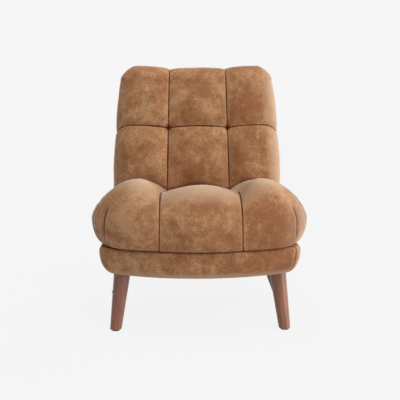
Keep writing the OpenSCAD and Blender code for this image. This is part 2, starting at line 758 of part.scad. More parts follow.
module back_post(side) {
    color(pine) on_side(side) difference() {
        side_profile(post_x - post_w, post_x, [
            [post_front_at(0) + fit, rail_bottom],
            [post_front_at(0) + fit, base_top],
            [post_front_at(post_top), post_top],
            [post_front_at(post_top) + post_t, post_top],
            [post_front_at(0) + post_t, base_top],
            [post_front_at(0) + post_t, rail_bottom]
        ]);
        back_bolt_places() translate([back_bolt_end_x - 1, 0, 0])
            bolt_shape(60, back_bolt_d + 2 * bore_gap);
    }
}

// A rail between the uprights, from z0 to z1
module back_rail(z0, z1) {
    x = post_x - post_w - fit;
    color(pine) side_profile(-x, x, [
        [post_front_at(z0), z0],
        [post_front_at(z1), z1],
        [post_front_at(z1) + post_t, z1],
        [post_front_at(z0) + post_t, z0]
    ]);
}

module back_webbing() {
    x = post_x - 4;
    room = post_top - back_strap_drop - strap_w - base_top - back_strap_low;
    color(cloth) for (i = [0:floor(room / back_pitch)]) {
        z1 = post_top - back_strap_drop - i * back_pitch;
        z0 = z1 - strap_w;
        side_profile(-x, x, [
            [post_front_at(z0) - fit, z0],
            [post_front_at(z1) - fit, z1],
            [post_front_at(z1) - fit - strap_t, z1],
            [post_front_at(z0) - fit - strap_t, z0]
        ]);
    }
}

// Lag bolts through the side rails into the uprights
back_bolt_y = base_rear - rail_in + 7;
back_bolt_end_x = post_x - post_w + 6;
back_bolt_head_x = hw - pad_t - 17;

module bolt_shape(l, d) {
    rotate([0, 90, 0]) cylinder(h = l, d = d, $fn = 32);
}

module back_bolt_places() {
    for (i = [0, 1]) translate([0, back_bolt_y, rail_bottom + back_bolt_up + i * back_bolt_pitch]) children();
}

module back_bolts() {
    color(steel) for (side = [-1, 1]) on_side(side) back_bolt_places() {
        translate([back_bolt_end_x, 0, 0]) bolt_shape(back_bolt_head_x - back_bolt_end_x + 1, back_bolt_d);
        translate([back_bolt_head_x, 0, 0]) rotate([0, 90, 0]) cylinder(h = 4.5, d = 2 * back_bolt_d, $fn = 6);
    }
}

module outside_back() {
    z0 = cushion_z;
    z1 = chair_h - back_tuck - 3;
    c = back_corner_r - back_tuck;
    right = concat(
        [for (i = [0:6]) let (z = blend(z0, z1 - c, i / 6)) [back_half(z) - back_tuck - 2, z]],
        [for (i = [1:6]) let (a = 15 * i) [
            back_half(z1) - back_tuck - 2 - c * (1 - pow(cos(a), chamfer_power)),
            z1 - c * (1 - pow(sin(a), chamfer_power))]]);
    color(leather) intersection() {
        side_profile(-hw, hw, [
            [back_rear_at(z0) + fit, z0],
            [back_rear_at(z1) + fit, z1],
            [back_rear_at(z1) + fit + outside_t, z1],
            [back_rear_at(z0) + fit + outside_t, z0]
        ]);
        translate([0, chair_h, 0]) rotate([90, 0, 0]) linear_extrude(height = chair_h)
            polygon(concat(right, mirrored(right)));
    }
}

front_leg_piece(-1);  // leg_front_left
front_leg_piece(1);  // leg_front_right
rear_leg_piece(-1);  // leg_rear_left
rear_leg_piece(1);  // leg_rear_right
floor_glides();
leg_bolts();
leg_plates();
plate_screws();
front_rail();
rear_rail();
side_rail(-1);  // side_rail_left
side_rail(1);  // side_rail_right
front_block(-1);  // block_front_left
front_block(1);  // block_front_right
rear_block(-1);  // block_rear_left
rear_block(1);  // block_rear_right
seat_webbing();
cross_webbing();
deck_pad();
seat_foam();
seat_cover();
base_front_panel();
base_side_panel(-1);  // base_left_panel
base_side_panel(1);  // base_right_panel
base_rear_panel();
dust_cover();
back_post(-1);  // back_post_left
back_post(1);  // back_post_right
back_rail(post_top - back_rail_h, post_top);  // back_top_rail
back_rail(base_top + 10, base_top + 10 + back_rail_h);  // back_lower_rail
back_bolts();
back_webbing();
back_foam();
back_cover();
outside_back();
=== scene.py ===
# %% [markdown]
# # An armless tufted lounge chair
#
# This lesson dresses a lounge chair whose construction was drawn and packed before. The packed
# solids give the exact sizes: a wooden frame, four splayed legs, elastic webbing, foam, and
# leather over all of it. Here the leather gets its real softness, seams and colour, the wood its
# grain, and the chair a plain light. All lengths that describe the chair are in millimetres, as
# on a maker's drawing, and they turn into metres at the moment a mesh is made.

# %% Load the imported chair
import math

import bmesh
import bpy
import numpy as np
from mathutils import Matrix, Vector, kdtree, noise


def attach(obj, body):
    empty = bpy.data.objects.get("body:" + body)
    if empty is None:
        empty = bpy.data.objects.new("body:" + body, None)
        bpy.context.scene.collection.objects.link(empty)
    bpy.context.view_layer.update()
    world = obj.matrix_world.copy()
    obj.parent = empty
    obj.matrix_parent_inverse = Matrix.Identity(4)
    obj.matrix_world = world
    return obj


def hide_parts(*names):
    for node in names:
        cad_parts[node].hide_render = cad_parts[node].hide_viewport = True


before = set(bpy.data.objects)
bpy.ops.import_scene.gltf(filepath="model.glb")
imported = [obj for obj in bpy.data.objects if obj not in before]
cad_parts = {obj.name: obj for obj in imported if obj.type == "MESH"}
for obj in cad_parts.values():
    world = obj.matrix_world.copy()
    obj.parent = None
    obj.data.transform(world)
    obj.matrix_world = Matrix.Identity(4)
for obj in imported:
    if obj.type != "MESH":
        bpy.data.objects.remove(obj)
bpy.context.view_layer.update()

MM = 0.001
scene = bpy.context.scene

# %% [markdown]
# ## Camera
#
# The photograph was taken from about 2.8 m away and from sitting height, a little left of the
# chair's middle and looking slightly down. A long lens keeps the front and the back of the chair
# at nearly the same scale. The camera comes first, so that every later step can be judged.

# %% Place the camera
cam_place = (-0.0541, -2.7794, 0.6963)
cam_pan, cam_down, cam_roll = math.radians(1.22), math.radians(6.62), math.radians(-0.14)
cam_lens, cam_sensor = 75.58, 36.0

camera_data = bpy.data.cameras.new("camera")
camera_data.lens, camera_data.sensor_width = cam_lens, cam_sensor
camera_data.clip_end = 60
camera = bpy.data.objects.new("camera", camera_data)
camera.matrix_world = (
    Matrix.Translation(cam_place)
    @ Matrix.Rotation(-cam_pan, 4, "Z")
    @ Matrix.Rotation(math.pi / 2 - cam_down, 4, "X")
    @ Matrix.Rotation(cam_roll, 4, "Z"))
scene.collection.objects.link(camera)
scene.camera = camera
print("camera at", cam_place, "lens", cam_lens)

# %% [markdown]
# ## Helpers for nodes
#
# The light, the ground and the materials are all made of nodes. These short functions make a
# node, give it its values and join it to others, so that each recipe below reads from top to
# bottom.

# %% Node helpers
def empty_tree(owner):
    """The empty node tree of a material or a world."""
    owner.use_nodes = True
    owner.node_tree.nodes.clear()
    return owner.node_tree


def set_input(node, key, value):
    """Join a socket to an input of a node, or give the input a value."""
    if isinstance(value, bpy.types.NodeSocket):
        node.id_data.links.new(value, node.inputs[key])
    else:
        node.inputs[key].default_value = value


def make_node(tree, kind, *first, **named):
    """A node: its first inputs in order, then other inputs and properties by their names."""
    node = tree.nodes.new(kind)
    for i, value in enumerate(first):
        set_input(node, i, value)
    for key, value in named.items():
        if key in node.inputs:
            set_input(node, key, value)
        else:
            setattr(node, key, value)
    return node


def math_node(tree, operation, *values):
    """The result of a sum with sockets and plain numbers."""
    return make_node(tree, "ShaderNodeMath", *values, operation=operation).outputs[0]


def noise_node(tree, vector, scale, **values):
    """Noise from 0 to 1."""
    node = make_node(tree, "ShaderNodeTexNoise", Vector=vector, Scale=scale, **values)
    return node.outputs["Fac"]


def ramp(tree, source, stops):
    """A colour ramp: stops are (position, grey or colour)."""
    node = make_node(tree, "ShaderNodeValToRGB", source)
    while len(node.color_ramp.elements) < len(stops):
        node.color_ramp.elements.new(0.5)
    for element, (place, colour) in zip(node.color_ramp.elements, stops):
        element.position = place
        element.color = (*colour, 1) if isinstance(colour, tuple) else (colour,) * 3 + (1,)
    return node.outputs["Color"]


def mix_colour(tree, factor, a, b):
    """Colour a turned into colour b by a factor."""
    node = make_node(tree, "ShaderNodeMix", data_type="RGBA")
    for key, value in (("Factor_Float", factor), ("A_Color", a), ("B_Color", b)):
        place = next(i for i, s in enumerate(node.inputs) if s.identifier == key)
        set_input(node, place, (*value, 1) if isinstance(value, tuple) else value)
    return next(s for s in node.outputs if s.identifier == "Result_Color")


# %% [markdown]
# ## Light and ground
#
# A product picture of this kind is lit by large soft sources: broad lights straight above and
# above the camera, two from the right front, of which the low one also reaches the legs, and a
# strong one from the right rear that edges the leather. Suns with a wide angle act as soft boxes
# that light the floor evenly. The ground shows the pale grey that the camera sees, and part of
# it is left matte, so that it still takes the chair's shadow.

# %% Lamps, world, floor
ground_grey = (0.922, 0.922, 0.922, 1)
shadow_keep = 0.05
floor_reach = 30


def soft_sun(name, strength, angle, look):
    """A wide sun that shines along the direction look."""
    data = bpy.data.lights.new(name, "SUN")
    data.energy, data.angle = strength, math.radians(angle)
    lamp = bpy.data.objects.new(name, data)
    lamp.rotation_euler = Vector(look).to_track_quat("-Z", "Y").to_euler()
    scene.collection.objects.link(lamp)


def seen_directly(tree):
    """1 for rays from the camera, from gloss and through glass, 0 for light on the object."""
    path = make_node(tree, "ShaderNodeLightPath").outputs
    first = math_node(tree, "MAXIMUM", path["Is Camera Ray"], path["Is Glossy Ray"])
    return math_node(tree, "MAXIMUM", first, path["Is Transmission Ray"])


def end_with(tree, output, share, lit, seen):
    """Close a tree with two shaders: one lights the object, the other is what shows."""
    mix = make_node(tree, "ShaderNodeMixShader", share, lit.outputs[0], seen.outputs[0])
    make_node(tree, output, mix.outputs[0])


soft_sun("overhead", 0.95, 60, (0.0, -0.05, -1.0))
soft_sun("top_front", 1.80, 50, (-0.20, 0.40, -0.90))
soft_sun("right_front", 0.50, 45, (-0.92, 0.30, -0.25))
soft_sun("low_right", 1.00, 14, (-0.88, 0.46, -0.06))
soft_sun("right_rear", 2.5, 40, (-0.80, -0.50, -0.10))

world = bpy.data.worlds.new("pale_room")
scene.world = world
tree = empty_tree(world)
room = make_node(tree, "ShaderNodeBackground", Color=(0.93, 0.95, 1.0, 1), Strength=0.03)
backdrop = make_node(tree, "ShaderNodeBackground", Color=ground_grey, Strength=1.0)
end_with(tree, "ShaderNodeOutputWorld", seen_directly(tree), room, backdrop)

floor_mat = bpy.data.materials.new("ground")
tree = empty_tree(floor_mat)
matte = make_node(tree, "ShaderNodeBsdfDiffuse", Color=(0.80, 0.80, 0.80, 1))
glow = make_node(tree, "ShaderNodeEmission", Color=ground_grey, Strength=1.0)
share = math_node(tree, "MULTIPLY", seen_directly(tree), 1 - shadow_keep)
end_with(tree, "ShaderNodeOutputMaterial", share, matte, glow)

floor_mesh = bpy.data.meshes.new("floor")
floor_mesh.from_pydata([(x * floor_reach, y * floor_reach, 0)
                        for x, y in ((-1, -1), (1, -1), (1, 1), (-1, 1))], [], [(0, 1, 2, 3)])
floor_mesh.materials.append(floor_mat)
floor = bpy.data.objects.new("floor", floor_mesh)
scene.collection.objects.link(floor)

scene.view_settings.view_transform = "Standard"

# %% [markdown]
# ## Shared effects for the materials
#
# A node group is a small recipe that several materials use, each with its own values. Two are
# enough here. The first gives cloudy variation in a colour, with fine flecks: a brushed hide has
# it, and so has stained wood and felt. The second turns grain into a bump.

# %% Two node groups
def new_group(name, inputs, outputs):
    """An empty shader group: each input with its default value, each output with its kind."""
    group = bpy.data.node_groups.new(name, "ShaderNodeTree")
    for label, value in inputs.items():
        kind = ("NodeSocketVector" if value is None
                else "NodeSocketColor" if isinstance(value, tuple) else "NodeSocketFloat")
        socket = group.interface.new_socket(name=label, in_out="INPUT", socket_type=kind)
        if value is not None:
            socket.default_value = value
    for label, kind in outputs.items():
        group.interface.new_socket(name=label, in_out="OUTPUT", socket_type=kind)
    return group, make_node(group, "NodeGroupInput").outputs, make_node(group, "NodeGroupOutput")


def build_cloudy_tone():
    """Colour between two tones by clouds of three sizes, with pale flecks gathered in patches."""
    group, given, result = new_group(
        "cloudy_tone",
        {"Vector": None, "Cloud Scale": 9.0, "Contrast": 1.0, "Shift": 0.0, "Fleck Scale": 170.0,
         "Fleck Amount": 0.5, "Dark": (0.2, 0.1, 0.05, 1), "Middle": (0.35, 0.18, 0.08, 1),
         "Light": (0.5, 0.3, 0.15, 1), "Pale": (0.6, 0.4, 0.2, 1)},
        {"Color": "NodeSocketColor", "Cloud": "NodeSocketFloat"})
    vector, cloud_scale = given["Vector"], given["Cloud Scale"]
    cloud = 0.0
    for finer, share, detail, rough in ((1.0, 0.40, 5.0, 0.6), (4.3, 0.32, 4.0, 0.62),
                                        (21.0, 0.28, 3.0, 0.6)):
        layer = noise_node(group, vector, math_node(group, "MULTIPLY", cloud_scale, finer),
                           Detail=detail, Roughness=rough, Distortion=0.3)
        layer = math_node(group, "SUBTRACT", layer, 0.5)
        cloud = math_node(group, "ADD", cloud, math_node(group, "MULTIPLY", layer, share))
    cloud = math_node(group, "ADD", math_node(group, "MULTIPLY", cloud, given["Contrast"]), 0.5)
    cloud = math_node(group, "ADD", cloud, given["Shift"])
    tone = mix_colour(group, ramp(group, cloud, [(0.34, 0.0), (0.50, 1.0)]),
                      given["Dark"], given["Middle"])
    tone = mix_colour(group, ramp(group, cloud, [(0.50, 0.0), (0.68, 1.0)]), tone, given["Light"])
    fleck = noise_node(group, vector, given["Fleck Scale"], Detail=5.0, Roughness=0.78)
    patch = noise_node(group, vector, math_node(group, "MULTIPLY", cloud_scale, 1.9),
                       Detail=4.0, Roughness=0.6)
    specks = ramp(group, fleck, [(0.51, 0.0), (0.66, 1.0)])
    where = ramp(group, math_node(group, "ADD", patch, given["Shift"]), [(0.42, 0.04), (0.60, 1.0)])
    amount = math_node(group, "MULTIPLY", math_node(group, "MULTIPLY", specks, where),
                       given["Fleck Amount"])
    set_input(result, "Color", mix_colour(group, amount, tone, given["Pale"]))
    set_input(result, "Cloud", cloud)
    return group


def build_fine_relief():
    """Height of a fine surface: pores and a soft nap, from fine to coarse."""
    group, given, result = new_group(
        "fine_relief", {"Vector": None, "Grain Scale": 700.0, "Nap Scale": 90.0, "Nap Share": 0.5},
        {"Height": "NodeSocketFloat"})
    pores = make_node(group, "ShaderNodeTexVoronoi", feature="DISTANCE_TO_EDGE",
                      Vector=given["Vector"], Scale=given["Grain Scale"])
    pore = ramp(group, pores.outputs["Distance"], [(0.0, 0.0), (0.12, 1.0)])
    nap = noise_node(group, given["Vector"], given["Nap Scale"], Detail=8.0, Roughness=0.68)
    nap = math_node(group, "MULTIPLY", nap, given["Nap Share"])
    rest = math_node(group, "SUBTRACT", 1.0, given["Nap Share"])
    height = math_node(group, "ADD", nap, math_node(group, "MULTIPLY", pore, rest))
    set_input(result, "Height", height)
    return group


cloudy_tone, fine_relief = build_cloudy_tone(), build_fine_relief()
print("groups:", cloudy_tone.name, fine_relief.name)

# %% [markdown]
# ## Leather
#
# The hide is brushed, so it looks dry and cloudy: warm tan, darker and redder in places, with
# fine pale flecks, and broad paler and darker patches that are partly its tone and partly painted
# light and shade. Along each seam the fold is dark, and just beside it the leather is rubbed
# paler. Where one sits it wears paler too, and painted sheen makes the tops and the right edges
# paler; painted light from the floor lightens the base's lower edge, and painted shade darkens the
# leather where parts meet and where it is pulled in. The meshes below carry these things as
# attributes: the distance to the nearest seam, the wear with the painted light, the painted shade,
# and for darts, which cross the grid at a slant, a distance that is negative on one side of the
# line. Deep in the folds and in the painted shade a copy of the leather without sheen keeps them
# dark.

# %% The leather material
def begin_material(name):
    """A new material with an empty Principled shader."""
    material = bpy.data.materials.new(name)
    tree = empty_tree(material)
    shader = make_node(tree, "ShaderNodeBsdfPrincipled")
    make_node(tree, "ShaderNodeOutputMaterial", shader.outputs[0])
    return material, tree, shader


def set_inputs(shader, values):
    """Constant values, and sources, of a shader's inputs."""
    for key, value in values.items():
        set_input(shader, key, value)


def object_vector(tree, scale=(1, 1, 1), turn=(0, 0, 0)):
    """Object coordinates, scaled and turned."""
    coords = make_node(tree, "ShaderNodeTexCoord").outputs["Object"]
    mapping = make_node(tree, "ShaderNodeMapping", Vector=coords, Scale=scale, Rotation=turn)
    return mapping.outputs["Vector"]


def use_group(tree, group, vector, **values):
    """The outputs of a shared group that gets its own values or sources."""
    named = {key.replace("_", " "): (*value, 1) if isinstance(value, tuple) else value
             for key, value in values.items()}
    return make_node(tree, "ShaderNodeGroup", node_tree=group, Vector=vector, **named).outputs


def attribute(tree, name):
    """A mask that a mesh carries at its points."""
    return make_node(tree, "ShaderNodeAttribute", attribute_name=name).outputs["Fac"]


def bump(tree, height, strength, distance):
    """The normal of a surface that has a height."""
    node = make_node(tree, "ShaderNodeBump", Height=height, Strength=strength, Distance=distance)
    return node.outputs["Normal"]


hide_dark = (0.262, 0.098, 0.034)
hide_middle = (0.362, 0.164, 0.066)
hide_light = (0.505, 0.276, 0.137)
hide_fold_and_shade = (0.125, 0.024, 0.004)
hide_worn = (0.575, 0.390, 0.250)
hide_fleck = (0.640, 0.400, 0.225)


def make_leather(name, sheen):
    """Brushed hide: clouds and flecks, then rubbed places, wear with painted light, and folds with
    painted shade over them.
    """
    material, tree, shader = begin_material(name)
    vector = object_vector(tree)
    tone = use_group(tree, cloudy_tone, vector, Cloud_Scale=10.0, Contrast=1.95,
                     Shift=attribute(tree, "patch"), Fleck_Scale=165.0, Fleck_Amount=0.6,
                     Dark=hide_dark, Middle=hide_middle, Light=hide_light, Pale=hide_fleck)
    relief = use_group(tree, fine_relief, vector, Grain_Scale=620.0, Nap_Scale=75.0, Nap_Share=0.62)
    gap = attribute(tree, "seam_gap")
    rub = ramp(tree, gap, [(0.04, 0.0), (0.10, 0.30), (0.22, 0.30), (0.50, 0.0)])
    colour = mix_colour(tree, rub, tone["Color"], hide_light)
    # Paler where the leather is worn and where painted sheen and painted light lie on it
    colour = mix_colour(tree, attribute(tree, "worn"), colour, hide_worn)
    fold = ramp(tree, gap, [(0.0, 1.0), (0.03, 0.9), (0.09, 0.0)])
    for line in ("dart", "side_seam"):
        distance = math_node(tree, "ABSOLUTE", attribute(tree, line))
        crease = ramp(tree, distance, [(0.0, 1.0), (0.12, 0.95), (0.25, 0.0)])
        crease = math_node(tree, "MULTIPLY", crease, attribute(tree, line + "_depth"))
        fold = math_node(tree, "MAXIMUM", fold, crease)
    # Painted shade from the meshes darkens the leather to the fold colour, where parts meet and
    # where it is pulled in
    fold = math_node(tree, "MAXIMUM", fold, attribute(tree, "shade"))
    set_inputs(shader, {
        "Base Color": mix_colour(tree, fold, colour, hide_fold_and_shade),
        "Roughness": ramp(tree, tone["Cloud"], [(0.35, 0.66), (0.65, 0.80)]),
        "Specular IOR Level": 0.28,
        "Sheen Weight": sheen,
        "Sheen Roughness": 0.22,
        "Sheen Tint": (1.0, 0.96, 0.84, 1),
        "Normal": bump(tree, relief["Height"], 0.35, 0.0006)})
    return material


# The second copy has no sheen; it goes on faces in deep folds and painted shade, so that they stay
# dark
leather, shaded_fold_leather = make_leather("brushed_leather", 1.0), make_leather("shaded_fold_leather", 0.0)
print("leather slots use", leather.name, shaded_fold_leather.name)

# %% [markdown]
# ## Wood and the hidden materials
#
# The legs are stained a muted walnut with a satin lacquer, and their grain runs from the foot to
# the base. Under the leather there is plain softwood, foam, felt, black elastic webbing, zinc
# plated steel and a black dust cloth.

# %% Wood
def make_wood(name, dark, middle, light, along, rough, coat=0.0):
    """Grain stretched along one axis, with growth bands and fine pores."""
    material, tree, shader = begin_material(name)
    stretch = [26.0, 26.0, 26.0]
    stretch[along] = 1.6
    bands = noise_node(tree, object_vector(tree, stretch), 1.3,
                       Detail=6.0, Roughness=0.6, Distortion=0.6)
    fine = object_vector(tree, [v * 9 for v in stretch])
    pores = noise_node(tree, fine, 1.0, Detail=3.0, Roughness=0.7)
    pore = math_node(tree, "MULTIPLY", ramp(tree, pores, [(0.36, 1.0), (0.47, 0.0)]), 0.4)
    colour = ramp(tree, bands, [(0.30, dark), (0.5, middle), (0.72, light)])
    set_inputs(shader, {
        "Base Color": mix_colour(tree, pore, colour, dark),
        "Roughness": ramp(tree, bands, [(0.3, rough[0]), (0.7, rough[1])]),
        "Coat Weight": coat,
        "Coat Roughness": 0.3,
        "Normal": bump(tree, pores, 0.18, 0.0003)})
    return material


walnut = make_wood("stained_walnut", (0.185, 0.063, 0.034), (0.275, 0.103, 0.057),
                   (0.365, 0.155, 0.094), along=2, rough=(0.34, 0.42), coat=0.1)
softwood = [make_wood("softwood_" + course, (0.42, 0.27, 0.14), (0.60, 0.43, 0.25),
                      (0.72, 0.56, 0.36), along=axis, rough=(0.6, 0.75))
            for axis, course in enumerate(("across", "along", "upright"))]


# %% Foam, felt, webbing, steel, dust cloth
def make_plain(name, dark, middle, light, rough, cloud=12.0, grain=500.0, nap=0.5,
               relief=0.4, depth=0.0005, metallic=0.0):
    """A material from the two shared groups, for pieces with no pattern of their own."""
    material, tree, shader = begin_material(name)
    vector = object_vector(tree)
    tone = use_group(tree, cloudy_tone, vector, Cloud_Scale=cloud, Fleck_Scale=300.0,
                     Fleck_Amount=0.4, Dark=dark, Middle=middle, Light=light)
    height = use_group(tree, fine_relief, vector,
                       Grain_Scale=grain, Nap_Scale=grain / 6, Nap_Share=nap)
    set_inputs(shader, {
        "Base Color": tone["Color"],
        "Roughness": ramp(tree, tone["Cloud"], [(0.35, rough[0]), (0.65, rough[1])]),
        "Metallic": metallic,
        "Normal": bump(tree, height["Height"], relief, depth)})
    return material


def make_woven(name, dark, light, pitch, rough=0.85, slant=0.0):
    """Over and under threads: two sets of fine waves at right angles."""
    material, tree, shader = begin_material(name)
    vector = object_vector(tree, turn=(0, 0, slant))
    waves = [make_node(tree, "ShaderNodeTexWave", Vector=vector, wave_type="BANDS",
                       bands_direction=axis, Scale=math.pi / pitch / 10, Distortion=0.4)
             for axis in ("X", "Y")]
    weave = math_node(tree, "MULTIPLY", *(wave.outputs["Fac"] for wave in waves))
    threads = noise_node(tree, vector, 240.0, Detail=4.0)
    mixed = math_node(tree, "ADD", math_node(tree, "MULTIPLY", weave, 0.6),
                      math_node(tree, "MULTIPLY", threads, 0.5))
    set_inputs(shader, {
        "Base Color": ramp(tree, mixed, [(0.2, dark), (0.75, light)]),
        "Roughness": rough,
        "Normal": bump(tree, mixed, 0.5, 0.0008)})
    return material


foam = make_plain("cut_foam", (0.70, 0.62, 0.40), (0.84, 0.77, 0.55), (0.92, 0.87, 0.70),
                  (0.85, 0.95), grain=420.0, nap=0.2, relief=0.8, depth=0.001)
felt = make_plain("wool_felt", (0.18, 0.18, 0.18), (0.33, 0.32, 0.31), (0.50, 0.48, 0.46),
                  (0.9, 1.0), cloud=40.0, grain=900.0, nap=0.9, relief=0.7)
steel = make_plain("zinc_steel", (0.42, 0.43, 0.44), (0.58, 0.59, 0.60), (0.72, 0.73, 0.74),
                   (0.28, 0.42), cloud=60.0, grain=1500.0, nap=0.9, relief=0.08, metallic=1.0)
nylon = make_plain("glide_nylon", (0.012, 0.011, 0.011), (0.022, 0.020, 0.019),
                   (0.045, 0.042, 0.040), (0.42, 0.55), grain=1200.0, nap=0.8, relief=0.1)
webbing = make_woven("elastic_webbing", (0.012, 0.012, 0.014), (0.06, 0.06, 0.065), 0.004)
dust_cloth = make_woven("dust_cloth", (0.010, 0.010, 0.012), (0.035, 0.035, 0.04), 0.0025,
                        rough=0.95, slant=0.4)

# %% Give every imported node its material
finishes = (
    (walnut, "leg_front_left leg_front_right leg_rear_left leg_rear_right"),
    (softwood[0], "front_rail rear_rail back_top_rail back_lower_rail"
                  " block_front_left block_front_right block_rear_left block_rear_right"),
    (softwood[1], "side_rail_left side_rail_right"),
    (softwood[2], "back_post_left back_post_right"),
    (steel, "leg_bolts leg_plates plate_screws back_bolts"),
    (webbing, "seat_webbing cross_webbing back_webbing"),
    (foam, "seat_foam back_foam"), (felt, "deck_pad"),
    (nylon, "floor_glides"), (dust_cloth, "dust_cover"))
for material, names in finishes:
    for name in names.split():
        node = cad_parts[name]
        if not node.material_slots:
            node.data.materials.append(material)
        for place in node.material_slots:
            place.material = material
print("nodes with a finish of their own:", sum(len(names.split()) for _, names in finishes))

# %% [markdown]
# ## The chair's measures
#
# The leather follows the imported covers, so the same measures return here: the base's outline, the
# seat's crests and bulges, and the back's panels. They are the values that the drawing uses.

# %% Measures in millimetres
base_w, base_front, base_rear = 619.0, 372.0, 310.0
base_bottom, base_h = 177.0, 87.0
bow_r, corner_r, rear_corner_r = 502.0, 75.0, 64.0
roll_r, roll_h, lip_w, edge_r = 41.0, 70.0, 2.0, 6.0
pad_t, rail_t, rail_lift, flange_t = 24.0, 24.0, 18.0, 6.0
panel_seam_a, fit = 49.0, 0.3

seat_w, seat_over, seat_rear = 672.0, 22.0, 169.6
seat_bulge_h, seat_crest, seat_side_crest, seat_seam_h = 78.0, 191.0, 210.0, 166.0
seat_fall, seat_seam_x, seat_seam_spread = 0.1125, 118.5, 5.0
seat_front_round, seat_side_round, seat_tuck, seat_front_seam = 125.0, 136.0, 46.0, 8.0

chair_h, back_w, back_top_w, back_knee_z = 830.0, 606.0, 540.0, 400.0
back_face, back_lean, back_rear_lean, back_inset = 170.0, 0.23, 0.142, 2.0
row_seam_z, low_seam_z, back_seam_x, back_seam_top_x = 607.0, 385.0, 110.0, 101.0
back_seam_d, back_notch, back_mid_drop, tuft_d = 13.0, 6.0, 6.0, 9.0
back_side_round, back_top_round, back_corner_r, back_tuck = 62.0, 56.0, 46.0, 10.0
row_arch, row_side_arch, row_droop, outside_t = 7.0, 11.0, 21.0, 3.4

base_top = base_bottom + base_h
cushion_z = base_top + fit
rail_bottom = base_bottom + rail_lift
flange_bottom = base_top - flange_t
lip_in, rail_in = roll_r + lip_w, pad_t + rail_t
bow_y = bow_r - base_front
corner_x = base_w / 2 - corner_r
bow_a = math.degrees(math.asin(corner_x / (bow_r - corner_r)))
corner_y = bow_y - (bow_r - corner_r) * math.cos(math.radians(bow_a))
rear_x, rear_y = base_w / 2 - rear_corner_r, base_rear - rear_corner_r
# Rules that change towards the sides count the way there in shares of side_reach
settle, side_settle, end_settle, side_reach = 2.5, -3.5, 4.0, 300.0


def settle_at(x):
    """How far the leather of the base's top edge has settled, most at the middle and the ends."""
    return settle + side_settle * (x / side_reach) ** 2 + end_settle * (x / side_reach) ** 10


print("base corner centre", round(corner_x, 1), round(corner_y, 1), "bow", round(bow_a, 2))

# %% [markdown]
# ## Padded forms by rule
#
# A sewn cushion is made of panels. Each panel rises steeply from its seam and is nearly flat in
# its middle, rounds over at the cushion's edge, reaches its fullest line, and draws in below it.
# One grid of points can say all of this: one direction runs across the panels, the other along
# them, and both go on over the edge. Across, the number k is 0 in the middle, 1 at the seam and 2
# at the face's edge, and s or t then grows from 0 to 1 on the way over the edge to where the
# leather is sewn down. NumPy works on the whole grid at once.

# %% Profile rules shared by seat and back
HALF_PI = math.pi / 2
face_share, side_square = 0.64, 1.5
face_steps, seam_steps = 46, 10


def blend(a, b, f):
    """The value that lies a share f of the way from a to b."""
    return a + (b - a) * f


def fade_in(value, start, width):
    """0 up to start, then growing evenly to 1 over width."""
    return np.clip((value - start) / width, 0, 1)


def over(r):
    """Angle of the turn from the face at r = 0 to the fullest line at r = face_share."""
    return fade_in(r, 0, face_share) * HALF_PI


def under(r):
    """Angle of the turn from the fullest line to the sewn edge at r = 1."""
    return fade_in(r, face_share, 1 - face_share) * HALF_PI


def out_part(r, square=2.0):
    """How far out a point is: 0 on the face and 1 on the fullest line."""
    return np.sin(over(r)) ** (2 / square)


def up_part(r, square=2.0):
    """How high a point is: 1 on the face and 0 on the fullest line."""
    return np.where(r < face_share, np.maximum(np.cos(over(r)), 0) ** (2 / square), 0)


def rise(u):
    """Rise of a panel from its seam at 0 to its middle at 1."""
    u = np.clip(u, 0, 1)
    return (1 - (1 - u) ** 2.2) ** (1 / 1.7)


def seam_rise(k):
    """Rise of the panels on both sides of the seam at k = 1."""
    return rise(np.abs(np.abs(k) - 1))


def lobe(k):
    """Softer rise of a seat channel, also used on the face of the back."""
    return np.sin(HALF_PI * np.clip(np.abs(np.abs(k) - 1), 0, 1)) ** 0.9


def across(k, seam, edge):
    """Distance from the middle of station k, for a seam and an edge at these distances."""
    a = np.abs(k)
    return np.sign(k) * np.where(a <= 1, a * seam, blend(seam, edge, a - 1))


def corner_turn(s, t):
    """Direction of a corner point: 0 looks to the side, a right angle to the front or the top."""
    small = 1e-9
    ratio = np.where(t > s, s / np.maximum(t, small), t / np.maximum(s, small))
    return np.where(t > s, HALF_PI - HALF_PI / 2 * ratio,
                    np.where(s > 0, HALF_PI / 2 * ratio, HALF_PI))


def stations(side_steps):
    """Stations k and s from the left to the right, closer together beside the seams at k = 1."""
    inner = 1 - np.linspace(1, 0, face_steps) ** 1.6
    outer = 1 + np.linspace(0, 1, face_steps + seam_steps + 1)[1:] ** 1.6
    k = np.concatenate([inner, outer, np.full(side_steps, 2.0)])
    s = np.concatenate([np.zeros(len(inner) + len(outer)),
                        np.arange(1, side_steps + 1) / side_steps])
    return np.concatenate([-k[:0:-1], k]), np.concatenate([s[:0:-1], s])


def station_at(k, s, at):
    """Number of the grid line at station k = at on the face."""
    return int(np.argmin(np.abs(k - at) + 10 * s))


print("profile rules ready; out at half:", round(float(out_part(np.array(0.3))), 3))


# %% Helpers for grids of points
def grid_normals(p, outward):
    """Unit normals of a grid [rows, columns, 3], turned so that the middle looks outward."""
    n = np.cross(np.gradient(p, axis=1), np.gradient(p, axis=0))
    n = n / np.maximum(np.linalg.norm(n, axis=2, keepdims=True), 1e-9)
    return n if n[n.shape[0] // 2, n.shape[1] // 2] @ outward > 0 else -n


def grid_numbers(rows, columns):
    """Numbers of a grid's points, row by row."""
    return np.arange(rows * columns).reshape(rows, columns)


def grid_quads(ids):
    """Faces between the points of a grid."""
    corners = (ids[:-1, :-1], ids[1:, :-1], ids[1:, 1:], ids[:-1, 1:])
    return np.stack(corners, axis=-1).reshape(-1, 4).tolist()


def rim_loop(ids):
    """Point numbers round the edge of a grid, from its first corner."""
    return [*ids[0], *ids[1:, -1], *ids[-1, -2::-1], *ids[-2:0:-1, 0]]


